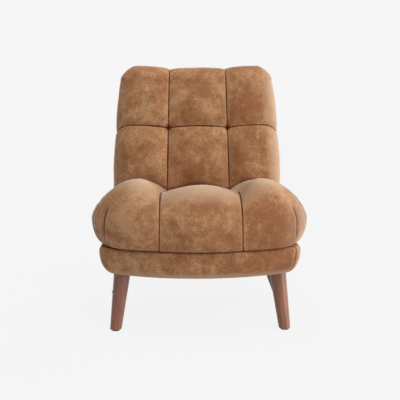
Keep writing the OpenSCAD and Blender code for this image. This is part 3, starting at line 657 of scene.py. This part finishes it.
def in_pairs(loop):
    """Each point of a closed loop with the next one."""
    return [(int(a), int(b)) for a, b in zip(loop, np.roll(loop, -1))]


def soft_noise(p, size, seed):
    """Smooth noise from -1 to 1 at every point, with features about size millimetres wide."""
    shift = Vector((seed * 7.3, seed * 3.1, seed * 5.7))
    values = [noise.noise(Vector(q) + shift) for q in p.reshape(-1, 3) / size]
    return np.array(values).reshape(p.shape[:-1])


def uneven(p, seam_gap, seed, swells, pucker, pucker_reach):
    """Relief of a filled cushion: wide swells, and fine puckers along its seams.

    Each of them is given as (size, height)."""
    wide, less_wide, fine = (soft_noise(p, size, seed + i) * height
                             for i, (size, height) in enumerate((*swells, pucker)))
    return wide + less_wide + fine * np.exp(-seam_gap / pucker_reach)


def nearest(p, points):
    """Distance from every grid point to the nearest of some points, and that one's number."""
    tree = kdtree.KDTree(len(points))
    for i, q in enumerate(points):
        tree.insert(q, i)
    tree.balance()
    found = [tree.find(q)[1:] for q in p.reshape(-1, 3)]
    index, gap = (np.array(values).reshape(p.shape[:-1]) for values in zip(*found))
    return gap, index


def dense_line(line, values):
    """Points about a millimetre apart along a line, with their values and directions."""
    line = np.asarray(line, float)
    values = np.broadcast_to(values, len(line))
    points, mixed, ahead = [], [], []
    for a, b, va, vb in zip(line[:-1], line[1:], values[:-1], values[1:]):
        n = max(1, int(np.linalg.norm(b - a)))
        f = np.arange(n) / n
        points += list(a + (b - a) * f[:, None])
        mixed += list(va + (vb - va) * f)
        ahead += [(b - a) / max(np.linalg.norm(b - a), 1e-9)] * n
    return points, mixed, ahead


def nearest_seam(p, seams, normals=None):
    """Distance from every grid point to the nearest seam, and that seam's depth there.

    A seam is a line of points with one depth, or a depth for each point. With normals given, the
    distance is negative on one side of the line."""
    points, depths, ahead = [], [], []
    for line, depth in seams:
        for whole, part in zip((points, depths, ahead), dense_line(line, depth)):
            whole += part
    gap, index = nearest(p, points)
    if normals is not None:
        aside = np.cross(np.array(ahead)[index], p - np.array(points)[index])
        gap = np.where((aside * normals).sum(axis=-1) < 0, -gap, gap)
    return gap, np.array(depths)[index]


def press(p, gap, depth, width, normals):
    """Draw the surface in along its normals at a line, fading over width."""
    return p - normals * (depth * np.exp(-(gap / width) ** 2))[..., None]


def on_grid(p, row, column):
    """The surface point at a fractional row and column of a grid."""
    j, i = min(int(row), p.shape[0] - 2), min(int(column), p.shape[1] - 2)
    u, v = row - j, column - i
    return blend(blend(p[j, i], p[j, i + 1], v), blend(p[j + 1, i], p[j + 1, i + 1], v), u)


def through(values, count):
    """Count rows of numbers spread evenly through the given rows."""
    values = np.asarray(values, float)
    place = np.linspace(0, len(values) - 1, count)
    return np.stack([np.interp(place, np.arange(len(values)), values[:, c])
                     for c in range(values.shape[1])], axis=1)


# %% Helpers for leather pieces
# Pale and dark patches, partly the hide's tone and partly painted light and shade: each back
# panel is paler on its right and darker on its left, beside a seam, and seat and base are darker
# on their right. Centre, radius and how pale, in millimetres
tone_light_and_shade_patches = np.array([
    # On the back
    (-180, 225, 660, 40, 1.2), (-160, 250, 750, 25, 0.5), (-250, 255, 735, 30, -0.4),
    (55, 265, 790, 22, 0.8), (45, 230, 670, 32, 0.8), (-55, 230, 660, 32, -1.0),
    (-25, 235, 705, 22, -0.6), (-75, 255, 740, 20, -0.3), (235, 260, 775, 36, 0.6),
    (140, 230, 660, 34, -1.0), (175, 235, 710, 22, 0.1), (-250, 195, 500, 34, -0.5),
    (-140, 215, 570, 30, 0.6), (-140, 190, 495, 28, 0.5), (75, 220, 590, 28, 0.6),
    (80, 200, 525, 30, 0.5), (-35, 180, 450, 34, -0.8), (-50, 195, 530, 24, -0.3),
    (220, 220, 595, 16, 0.9), (145, 195, 505, 34, -0.7), (205, 185, 490, 26, 0.3),
    (190, 230, 665, 45, -0.9), (190, 240, 715, 35, -0.5), (190, 220, 600, 35, -0.9),
    (0, 250, 740, 38, -0.5), (-165, 250, 745, 40, -0.6),
    # On the seat
    (-230, -340, 365, 44, 1.2), (-175, -360, 335, 30, 0.7), (-245, -330, 300, 26, -0.5),
    (-150, -365, 300, 26, -0.5), (-15, -395, 350, 32, 0.2), (45, -385, 375, 26, 0.3),
    (-60, -370, 395, 26, 0.4), (-85, -385, 340, 24, -0.4), (70, -385, 320, 28, -0.5),
    (-30, -390, 295, 26, -0.3), (170, -360, 325, 18, 0.6), (160, -340, 410, 26, 0.5),
    (215, -345, 365, 36, -0.8), (130, -370, 305, 28, -0.6), (235, -335, 340, 80, -0.65),
    (5, -385, 360, 75, -0.6),
    # On the base
    (25, -370, 250, 26, -0.4), (255, -300, 225, 70, -1.1), (-110, -355, 225, 40, 0.4),
    (-260, -295, 215, 24, 0.5), (115, -355, 210, 24, -0.2), (-185, -340, 225, 34, 0.5),
    (200, -330, 225, 50, -0.6)])
patch_shift = 0.16
# Seam distances are given to the material as shares of this reach
seam_reach = 20.0
groove_depth, groove_width = 2.8, 1.9


def patches_at(points):
    """How much paler or darker the hide is at every point, by its tone and by painted light and
    shade.
    """
    away = np.linalg.norm(points[:, None, :] - tone_light_and_shade_patches[None, :, :3], axis=2)
    pale = tone_light_and_shade_patches[:, 4] * np.exp(-(away / tone_light_and_shade_patches[:, 3]) ** 2)
    return patch_shift * pale.sum(axis=1)


def add_leather(name, node, fill, points, faces, gap, in_shade=None, **masks):
    """A leather piece from points in millimetres, which stands for a soft node of the drawing.

    It carries its seam distances and other masks at its points, and where all points of a face
    are in shade, it takes the copy of the leather without sheen, so that the shade stays dark. A
    mask may leave out the last points."""
    mesh = bpy.data.meshes.new(name)
    mesh.from_pydata((points * MM).tolist(), [], faces)
    mesh.validate()
    masks["seam_gap"] = np.clip(gap / seam_reach, 0, 1)
    masks["patch"] = patches_at(points)
    for key, values in masks.items():
        padded = np.zeros(len(points))
        padded[:np.size(values)] = np.ravel(values)
        mesh.attributes.new(key, "FLOAT", "POINT").data.foreach_set("value", padded)
    mesh.materials.append(leather)
    if in_shade is not None:
        mesh.materials.append(shaded_fold_leather)
        for face in mesh.polygons:
            face.material_index = int(all(in_shade[v] for v in face.vertices))
    mesh.polygons.foreach_set("use_smooth", [True] * len(mesh.polygons))
    bm = bmesh.new()
    bm.from_mesh(mesh)
    bmesh.ops.recalc_face_normals(bm, faces=bm.faces)
    bm.to_mesh(mesh)
    bm.free()
    obj = bpy.data.objects.new(name, mesh)
    scene.collection.objects.link(obj)
    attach(obj, "root")
    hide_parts(node)
    print(name, "faces", len(mesh.polygons))


# %% [markdown]
# ## Seat cushion
#
# Two channel seams run from front to rear, so the cushion has three lobes, and the outer lobes
# stand higher than the middle one. Its front bulges ahead of the base and is drawn in where it is
# sewn down. A dart at each front corner takes up the leather's fullness.

# %% Seat surface
seat_inner_r, seat_rear_r, seat_rear_round, seam_draw = 20.0, 44.0, 26.0, 20.0
seat_bulge_r, bow_out = corner_r + seat_over, bow_r + seat_over
seat_front_rows, seat_face_rows, seat_rear_rows, seat_side_steps = 56, 70, 12, 46
seat_sink, seat_draw_in, fall_start = 6.0, 14.0, 20.0
front_tuck_share, draw_fade, sunk_fade = 0.8, 0.14, 0.6


def seat_grid():
    """The seat as [rows, columns, 3], front edge first, and its stations across."""
    k, s = stations(seat_side_steps)
    front, face, rear = seat_front_rows, seat_face_rows, seat_rear_rows
    m = np.concatenate([np.full(front, -1.0), np.linspace(-1, 1, face), np.full(rear, 1.0)])
    t = np.concatenate([np.linspace(1, 1 / front, front), np.zeros(face),
                        np.arange(1, rear + 1) / rear])
    end = np.concatenate([np.full(front, -1), np.zeros(face), np.ones(rear)])
    K, S = k[None, :], s[None, :]
    T, E, w = t[:, None], end[:, None], (m[:, None] + 1) / 2
    r = np.maximum(S, T)
    turn = corner_turn(S + 0 * T, T + 0 * S)
    square = blend(side_square, 2.0, turn / HALF_PI)
    e = out_part(r, square)
    d = 1 - np.cos(under(r))
    half = seat_w / 2 - seat_side_round * (1 - e) - (seat_tuck + seat_draw_in) * d
    c_front = blend(seat_inner_r, seat_bulge_r, e) - seat_tuck * front_tuck_share * d
    c_rear = blend(seat_inner_r, seat_rear_r, e)
    c = blend(c_front, c_rear, w)
    edge = half - c
    drawn_in = seam_draw * (1 - np.exp(-w / draw_fade))
    seam = seat_seam_x + np.where(E < 0, seat_seam_spread * T, -drawn_in)
    side_x = np.sign(K) * (edge + c * np.where(T > 0, np.cos(turn), 1))
    x = np.where(S > 0, side_x, across(K, seam, edge))
    bow_back = bow_out - np.sqrt(bow_out ** 2 - x ** 2)
    y_front = -base_front - seat_over + seat_front_round * (1 - e) + seat_over * d + bow_back
    y_rear = seat_rear - seat_rear_round * (1 - e)
    y_mid = blend(y_front + c_front, y_rear - c_rear, w)
    y_end = np.where(E < 0, y_front + c_front * (1 - np.sin(turn)),
                     y_rear - c_rear * (1 - np.sin(turn)))
    y = np.where(T == 0, y_mid, y_end)
    b = np.where(S > 0, 1.0, lobe(K) + 0 * T)
    crest = np.where(np.abs(K) <= 1, seat_crest, seat_side_crest)
    fall = seat_fall * (np.minimum(y, seat_rear - seat_rear_round)
                        + base_front + seat_over - seat_front_round - fall_start)
    top = base_top + blend(seat_seam_h, crest, b) - seat_sink - np.maximum(0, fall)
    z_bulge = base_top + seat_bulge_h
    z = np.where(r < face_share, blend(z_bulge, top, up_part(r, square)),
                 blend(cushion_z - settle_at(x), z_bulge, 1 - np.sin(under(r))))
    sunk = (1 - b) * seat_front_seam * np.sin(over(r)) * (1 - sunk_fade * d)
    return np.stack([x + 0 * y, y - E * sunk * (T > 0), z], axis=2), k, s


seat, seat_k, seat_s = seat_grid()
print("seat grid", seat.shape)

# %% Seams, darts and creases of the seat
# Darts and side seams as [s, t, depth]: over the side, over the front, how deep
dart_path = [[0.26, 0.45, 0.0], [0.30, 0.50, 0.8], [0.385, 0.585, 1.0], [0.455, 0.655, 1.0],
             [0.545, 0.735, 0.9], [0.66, 0.79, 0.5], [0.76, 0.84, 0.0]]
edge_path = [[0.42, 0.0, 0.8], [0.42, 0.20, 0.8], [0.45, 0.33, 0.8], [0.55, 0.37, 0.8],
             [0.70, 0.40, 0.7], [0.85, 0.46, 0.5], [1.0, 0.56, 0.3]]
# Soft wrinkles on the middle channel as (t, sag, from column, to column)
wrinkle_paths = ((0.05, 0.03, -20, 14), (0.14, 0.04, -14, 18), (0.24, 0.03, -20, 6))
line_steps, wrinkle_steps, right_dart_shift = 60, 30, 0.02
dart_depth, side_seam_depth = 2.0, 1.2
top_wear_and_sheen, outer_lobe_sheen, right_side_sheen, rim_shade = 0.76, 0.25, 0.2, 0.9
seat_middle = (len(seat_k) - 1) // 2


def seat_place(side, s, t):
    """Row and column of the seat's grid on a front corner, or on a side where t is 0."""
    return seat_front_rows * (1 - t), seat_middle + side * (seat_middle - seat_side_steps * (1 - s))


seat_seams = [(seat[:, station_at(seat_k, seat_s, side)], 1.0) for side in (-1, 1)]
rim = [(line, 1.0) for line in (seat[0], seat[-1], seat[:, 0], seat[:, -1])]
darts, side_seams, wrinkles = [], [], []
for side in (-1, 1):
    path = through(dart_path, line_steps) + [right_dart_shift * (side > 0), 0, 0]
    darts.append(([on_grid(seat, *seat_place(side, s, t)) for s, t, _ in path], path[:, 2]))
    path = through(edge_path, line_steps)
    row, column = seat_place(side, *edge_path[0][:2])
    line = [on_grid(seat, j, column) for j in np.linspace(len(seat) - 1, row + 1, line_steps)]
    line += [on_grid(seat, *seat_place(side, s, t)) for s, t, _ in path]
    side_seams.append((line, np.r_[np.full(line_steps, edge_path[0][2]), path[:, 2]]))
for t, sag, first, last in wrinkle_paths:
    along = np.linspace(0, 1, wrinkle_steps)
    arch = np.sin(math.pi * along)
    places = zip(seat_front_rows * (1 - t - sag * arch), seat_middle + blend(first, last, along))
    wrinkles.append(([on_grid(seat, *place) for place in places], arch))

n = grid_normals(seat, (0, 0, 1))
seat_gap, _ = nearest_seam(seat, seat_seams)
rim_gap, _ = nearest_seam(seat, rim)
wrinkle_gap, wrinkle_share = nearest_seam(seat, wrinkles)
slanted = {"dart": (dart_depth, *nearest_seam(seat, darts, n)),
           "side_seam": (side_seam_depth, *nearest_seam(seat, side_seams, n))}
# Paler on top, partly wear where one sits and partly painted sheen, more so on the outer lobes;
# painted sheen on the right side, where the light comes from; painted shade at the sewn edge
worn = top_wear_and_sheen * fade_in(n[..., 2], 0.52, 0.42) ** 2
worn = worn * (1 + outer_lobe_sheen * fade_in(np.abs(seat[..., 0]), 110, 60))
worn = np.maximum(worn, right_side_sheen * fade_in(n[..., 0], 0.45, 0.45))
shade = rim_shade * (1 - fade_in(rim_gap, 3, 5))
print("farthest point from a seam of the seat", round(float(seat_gap.max()), 1))

# %% [markdown]
# The distances above are measured on the smooth seat. Now its surface gets the unevenness of a
# filled cushion, the grooves of the seams, the wrinkles, and the darts and side seams, which
# have a low ridge on both sides.

# %% Relief of the seat
ridge, ridge_away, ridge_width = 1.2, 12.0, 7.0
wrinkle_depth, wrinkle_width, slant_width, slant_reach = 1.3, 5.0, 8.0, 40.0
seat_lower = 0.5
relief = uneven(seat, seat_gap, 1, ((130, 1.6), (46, 0.8)), (15, 1.3), 12) - seat_lower
seat = seat + n * (relief * fade_in(rim_gap, 0, 30))[..., None]
seat = press(seat, seat_gap, groove_depth, groove_width, n)
seat = press(seat, wrinkle_gap, wrinkle_depth * wrinkle_share, wrinkle_width, n)
seat_lines = {}
for key, (depth, gap, share) in slanted.items():
    share = share * (np.abs(gap) < slant_reach)
    raised = ridge * share * np.exp(-((np.abs(gap) - ridge_away) / ridge_width) ** 2)
    seat = press(seat + n * raised[..., None], gap, depth * share, slant_width, n)
    seat_lines[key], seat_lines[key + "_depth"] = gap / seam_reach, share
print("seat relief from", round(float(relief.min()), 2), "to", round(float(relief.max()), 2))

# %% Close the seat and place it
ids = grid_numbers(*seat.shape[:2])
points = np.vstack([seat.reshape(-1, 3), [[0, -60, cushion_z - settle_at(0)]]])
faces = grid_quads(ids) + [[a, b, ids.size] for a, b in in_pairs(rim_loop(ids))]
gap = np.append(np.minimum(seat_gap, rim_gap + 1.0).ravel(), seam_reach)
add_leather("seat_cushion", "seat_cover", 0.8, points, faces, gap,
            in_shade=np.append(rim_gap.ravel() < 6.0, True), worn=worn, shade=shade, **seat_lines)

# %% [markdown]
# ## Back
#
# Two upright seams and one cross seam divide the back into six panels. Where they cross, the
# leather is pulled through to the frame, so the pads swell around a deep point. The top corners
# are cut off at a slant, and the cross seam drops where it runs round the sides.

# %% Back surface
back_bulge, back_inner_r, chamfer_power, back_seam_shift = 0.46, 12.0, 1.4, 3.0
back_puff, back_turn, back_lean_on, back_side_steps = 9.0, 9.0, 1.6, 34
side_arch, side_droop, seams_show = row_side_arch - 2.0, row_droop + 7.0, 30.0
tuft_across, tuft_up, top_rise, top_depth = 0.13, 0.10, 1.6, 1.1
outer_puff = 27 / 4


def back_rear_at(z):
    """Where the rear of the back is at a height."""
    return base_rear - back_inset + (z - base_top) * back_rear_lean


def back_front_at(z):
    """Where the face of the back is at a height."""
    return back_face + np.maximum(0, z - back_knee_z) * back_lean


def back_half(z):
    """Half the width of the back at a height."""
    rise_z = np.maximum(0, z - back_knee_z) / (chair_h - back_knee_z)
    return back_w / 2 - (back_w - back_top_w) / 2 * rise_z ** 2


def back_grid():
    """The back as [rows, columns, 3], lowest row first, and its stations across and upwards."""
    k, s = stations(back_side_steps)
    m = np.concatenate([
        np.linspace(0, 1, 14)[:-1],
        1 + 0.5 * np.linspace(0, 1, 26)[:-1] ** 1.5,
        1.5 + 0.5 * (1 - np.linspace(1, 0, 34) ** 1.7)[:-1],
        2 + np.linspace(0, 1, 46) ** 1.5])
    t = np.concatenate([np.zeros(len(m)), np.arange(1, back_side_steps + 1) / back_side_steps])
    m = np.concatenate([m, np.full(back_side_steps, 3.0)])
    K, S = k[None, :], s[None, :]
    M, T = m[:, None], t[:, None]
    A = np.abs(K)
    r = np.maximum(S, T)
    turn = corner_turn(S + 0 * T, T + 0 * S)
    e = out_part(r)
    d = 1 - np.cos(under(r))
    c = blend(back_inner_r, back_corner_r, e) - back_tuck * d
    z_top = chair_h - back_top_round * (1 - e) - back_tuck * d
    arch = np.where(A <= 1, row_arch * (1 - K ** 2),
                    side_arch * (1 - np.clip(2 - A, 0, 1) ** 2.2))
    z_seam = row_seam_z + arch - side_droop * e ** 3 * (S > 0)
    z_line = np.where(M <= 2, blend(low_seam_z, z_seam, M - 1), blend(z_seam, z_top - c, M - 2))
    z_line = np.where(M <= 1, blend(cushion_z, low_seam_z, M), z_line)
    z = np.where(T > 0, z_top - c * (1 - np.maximum(np.sin(turn), 0) ** chamfer_power), z_line)
    half = back_half(z) - back_side_round * (1 - e) - back_tuck * d
    edge = half - c
    seam = blend(back_seam_x, back_seam_top_x,
                 np.maximum(0, z - back_knee_z) / (chair_h - back_knee_z))
    side_x = edge + c * np.where(T > 0, np.maximum(np.cos(turn), 0) ** chamfer_power, 1)
    offset = back_seam_shift * np.minimum(1, 2 - A) * (S == 0)
    x = np.where(S > 0, np.sign(K) * side_x, across(K, seam, edge)) + offset

    # Panels rise from the seams and puff out to a crest of 1, the outer ones nearer the seam
    b_x = np.where(S > 0, 1.0, blend(lobe(K), seam_rise(K), np.clip(3 * T, 0, 1)))
    b_m = np.where(M >= 2, rise((M - 2) * top_rise),
                   np.where(M >= 1, rise(1 - np.abs(2 * (M - 1) - 1)), 1.0))
    tuft = np.exp(-((A - 1) / tuft_across) ** 2 - ((M - 2) / tuft_up) ** 2) * (S == 0)
    puff_x = np.where(A <= 1, 1 - K ** 2, outer_puff * (A - 1) * (2 - A) ** 2)
    puff_m = np.where(M >= 2, np.sin(math.pi * np.clip((M - 2) * 0.95, 0, 1)),
                      1 - (2 * np.clip(M, 1, 2) - 3) ** 2)
    puff = back_puff * np.where((S > 0) | (T > 0), 0, puff_x * puff_m)

    # The face turns backwards before its edges, at the sides and along the top
    side_turn = np.cos(over(r)) * (1 + back_lean_on * np.sin(over(r))
                                   * np.clip((3 - M) / 0.4, 0, 1))
    side_turn = np.where(S > 0, side_turn, fade_in(A, 1.35, 0.65) ** 2) * (T == 0)
    top_turn = np.where(T > 0, np.cos(over(r)), fade_in(M, 2.5, 0.5) ** 2)

    # Depth of the seams, which is less where the cross seam runs round the sides
    side_d = blend(back_seam_d, back_notch, np.where((S > 0) & (T == 0), np.minimum(1, 3 * S), 0))
    depth = side_d * (1 - b_x * b_m) + tuft_d * tuft
    depth = fade_in(z, low_seam_z, seams_show) * depth * (1 - d)
    low = np.where(A < 1, back_mid_drop * b_x, 0)
    g = np.where(r < face_share, blend(back_bulge, 1, up_part(r)),
                 back_bulge * (1 - np.sin(under(r))))
    out = np.where(T > 0, np.cos(turn), 1)
    x = x - np.where(S > 0, np.sign(K) * depth * np.sin(over(r)) * out, 0)
    y = (blend(back_rear_at(z), back_front_at(z), g) + depth * np.cos(over(r)) - puff
         + back_turn * np.maximum(side_turn, top_turn))
    z = z - np.where(T > 0, (top_depth * depth + low) * np.sin(over(r)) * np.sin(turn), 0)
    return np.stack([x + 0 * y, y, z + 0 * y], axis=2), k, s, m, t


back, back_k, back_s, back_m, back_t = back_grid()
print("back grid", back.shape)

# %% Seams and pulls of the back
pull_depth, pull_width = 7.0, 9.0
right_edge_sheen, left_edge_sheen = 0.6, 0.15
pull_shade, seat_shade, fold_shade = 0.9, 0.35, 0.85
row_seam, low_seam = (station_at(back_m, back_t, at) for at in (2, 1))
upright_seams = [back[:, station_at(back_k, back_s, side)] for side in (-1, 1)]
back_seams = [(line, 1.0) for line in upright_seams + [back[row_seam], back[low_seam]]]
back_gap, _ = nearest_seam(back, back_seams)
pull, _ = nearest(back, [line[row_seam] for line in upright_seams])
n = grid_normals(back, (0, -1, 0))
# Painted sheen on the side edges of the face, strong on the right, where the light comes from, and
# faint on the left
worn = (np.where(back[..., 0] > 0, right_edge_sheen, left_edge_sheen)
        * fade_in(np.abs(n[..., 0]), 0.30, 0.45))
relief = uneven(back, back_gap, 4, ((120, 1.8), (42, 0.8)), (15, 1.2), 14)
calm = np.clip((1 - np.maximum(back_s[None, :], back_t[:, None])) * 6, 0, 1)
back = back + n * (relief * calm)[..., None]
back = press(back, back_gap, groove_depth, groove_width, n)
back = press(back, pull, pull_depth, pull_width, n)
# Painted shade where the leather is pulled in, near the seat, and most of all in the fold there
to_seat, _ = nearest(back, seat.reshape(-1, 3))
shade = np.max([pull_shade * np.exp(-(pull / pull_width) ** 2),
                seat_shade * np.exp(-(np.maximum(to_seat - 24, 0) / 30) ** 2),
                fold_shade * (1 - fade_in(to_seat, 28, 6))], axis=0)
print("deepest shade of the back", round(float(shade.max()), 2))

# %% Close the back and place it
rear_mid_z = 550.0
ids = grid_numbers(*back.shape[:2])
rear_rim = [*ids[:, 0], *ids[-1, 1:], *ids[-2::-1, -1]]
points = np.vstack([back.reshape(-1, 3),
                    [[0, back_rear_at(rear_mid_z), rear_mid_z]],
                    [[0, blend(back_rear_at(base_top), back_face, 0.5), cushion_z]]])
faces = grid_quads(ids) + [[b, a, ids.size + i] for i, loop in enumerate((rear_rim, ids[0, ::-1]))
                           for a, b in in_pairs(loop)]
add_leather("back_cushion", "back_cover", 0.75, points, faces,
            np.append(back_gap.ravel(), [seam_reach, seam_reach]),
            in_shade=np.append(shade.ravel() > 0.7, [False, False]), worn=worn, shade=shade)

# %% [markdown]
# ## Leather round the base
#
# The base is wrapped in leather over wadding. One profile, rounded at its lower edge, is carried
# along the bowed front, round the corners, along the sides and the rear. The panels are sewn to
# each other on the front corners and behind the rear ones, and dip a little into each seam.

# %% Profile of the base
top_round, side_rounder = edge_r + 2.0, 0.5
seam_dip, dip_width, right_fold = 3.0, 3.2, 0.5
top_points, edge_gap, end_gap = 4, 1.2, 4.0


def base_profile():
    """The profile as (inset, height), and the number of its last point on the outside."""
    top = [(top_round * (1 - math.sin(a)), base_top - top_round * (1 - math.cos(a)))
           for a in np.linspace(0, HALF_PI, 7)]
    roll = [(roll_r * (1 - math.cos(a)), base_bottom + roll_h * (1 - math.sin(a)))
            for a in np.linspace(0, HALF_PI, 26)]
    inner = [(lip_in, base_bottom), (lip_in, rail_bottom - fit), (pad_t - fit, rail_bottom - fit),
             (pad_t - fit, flange_bottom), (rail_in, flange_bottom), (rail_in, base_top)]
    return top + roll + inner, len(top + roll) - 1


def rounded(x, inset, z):
    """A profile point with the top edge made rounder towards the sides."""
    if z > base_top - top_round - 0.1 and inset <= top_round:
        rounder = 1 + side_rounder * (x / side_reach) ** 2
        inset, z = inset * rounder, base_top - (base_top - z) * rounder
    return inset, z


def settled(x, z):
    """A height on the base after the leather has settled, most of all at its top edge."""
    return z - settle_at(x) * max(0, (z - base_bottom) / base_h) ** 2


def base_gap(x, j, to_seam):
    """Seam distance of profile point j: the first points lie under the cushion, save at the sides,
    and their dark fold is painted shade there.

    The dark fold of the right panel seam reaches twice as far as the left one's."""
    to_cushion = 0.0 if j < 2 else edge_gap if j == 2 else seam_reach
    to_seam *= right_fold if x > 0 else 1.0
    return min(to_seam, to_cushion + end_gap * (x / side_reach) ** 24)


profile, last_outer = base_profile()
print("base profile points:", len(profile))


# %% Paths of the base panels
def eased(start, end, count):
    """Numbers that are closer together at the start, where a seam makes the leather dip."""
    return blend(start, end, np.linspace(0, 1, count) ** 1.5)


def arc(x, y, radius, angles):
    """Places on a round corner and the way they face: 0 degrees looks to the front."""
    a = np.radians(angles)
    out = np.stack([np.sin(a), -np.cos(a)], axis=1)
    return np.hstack([[x, y] + radius * out, out])


def straight(start, end, count, out):
    """Places spread evenly along a line, which all face the same way."""
    return np.hstack([np.linspace(start, end, count), np.tile(out, (count, 1))])


def side_path(side):
    """From the seam on the front corner to the one behind the rear corner; right is 1."""
    outer = side * base_w / 2
    return [arc(side * corner_x, corner_y, corner_r, side * eased(panel_seam_a, 90, 14)),
            straight((outer, corner_y), (outer, rear_y), 44, (side, 0))[1:-1],
            arc(side * rear_x, rear_y, rear_corner_r,
                side * (90 + 90 * (1 - np.linspace(1, 0, 22) ** 1.3)))]


def sweep(path):
    """Points, faces and seam distances of the profile carried along places and their directions."""
    path = np.concatenate(path)
    steps = np.r_[0, np.cumsum(np.linalg.norm(np.diff(path[:, :2], axis=0), axis=1))]
    points, gaps = [], []
    to_end = np.minimum(steps, steps[-1] - steps)
    for (outer_x, outer_y, out_x, out_y), to_seam in zip(path, to_end):
        dip = seam_dip * math.exp(-(to_seam / dip_width) ** 2)
        for j, (inset, z) in enumerate(profile):
            inset, z = rounded(outer_x, inset, z)
            inset += dip * (0 < j < last_outer)
            x, y = outer_x - inset * out_x, outer_y - inset * out_y
            points.append((x, y, settled(x, z)))
            gaps.append(base_gap(x, j, to_seam))
    ids = grid_numbers(len(path), len(profile))
    closed = np.hstack([ids, ids[:, :1]])
    faces = grid_quads(closed.T) + [ids[0, ::-1].tolist(), ids[-1].tolist()]
    return np.array(points), faces, np.array(gaps)


to_bow = eased(panel_seam_a, bow_a, 14)[:-1]
panels = {
    "front": [arc(-corner_x, corner_y, corner_r, -to_bow),
              arc(0, bow_y, bow_r, np.linspace(-bow_a, bow_a, 140)),
              arc(corner_x, corner_y, corner_r, to_bow[::-1])],
    "right": side_path(1),
    "left": side_path(-1),
    "rear": [straight((-rear_x, base_rear), (rear_x, base_rear), 90, (0, 1))]}
for place, path in panels.items():
    points, faces, gap = sweep(path)
    j = np.arange(len(points)) % len(profile)
    on_top = (j < top_points) | (j == len(profile) - 1)
    # Painted light from the white floor makes the base's lower edge paler
    floor_light_band = 0.42 * (1 - fade_in(points[:, 2], base_bottom + 10, 12))
    add_leather(f"base_{place}_leather", f"base_{place}_panel", 0.9, points, faces, gap,
                in_shade=on_top, worn=floor_light_band)

# %% [markdown]
# ## Outside back
#
# The rear of the back is closed by one sheet of leather over a thin wadding. It is crowned a
# little in its middle and sewn to the cushion round its edge.

# %% Outside back
out_count, out_inset, out_crown, crown_fade = 90, back_tuck + 2, 7.0, 40.0
z0, z1 = cushion_z, chair_h - back_tuck - 3
corner_c = back_corner_r - back_tuck
v = np.linspace(0, 1, out_count)
z = (z0 + (z1 - z0) * (1 - (1 - v) ** 1.15))[:, None]
slant = np.arcsin(np.clip(1 - (z1 - z) / corner_c, 0, 1) ** (1 / chamfer_power))
half = back_half(z) - out_inset - corner_c * (1 - np.cos(slant) ** chamfer_power)
x = half * np.sin((2 * v[None, :] - 1) * HALF_PI)
edge = np.minimum(half - np.abs(x), z1 - z)
crown = (out_crown * (1 - np.exp(-edge / crown_fade))
         * np.sin(math.pi * np.minimum(1, (z - z0) / (z1 - z0) * 0.9 + 0.1)))
inside = np.stack([x, back_rear_at(z) + fit + 0 * x, z + 0 * x], axis=2)
outside = inside + np.stack([0 * x, outside_t + crown, 0 * x], axis=2)
ids = grid_numbers(out_count, out_count)
points = np.vstack([inside.reshape(-1, 3), outside.reshape(-1, 3)])
faces = grid_quads(ids) + grid_quads(ids[::-1] + ids.size)
faces += [[a, b, b + ids.size, a + ids.size] for a, b in in_pairs(rim_loop(ids))]
add_leather("outside_back_leather", "outside_back", 0.4, points, faces, np.tile(edge.ravel(), 2))

# %% [markdown]
# ## Finish
#
# The dressed chair must keep the imported chair's size. At the end the view layer is brought up to
# date.

# %% Finish
bpy.context.view_layer.update()
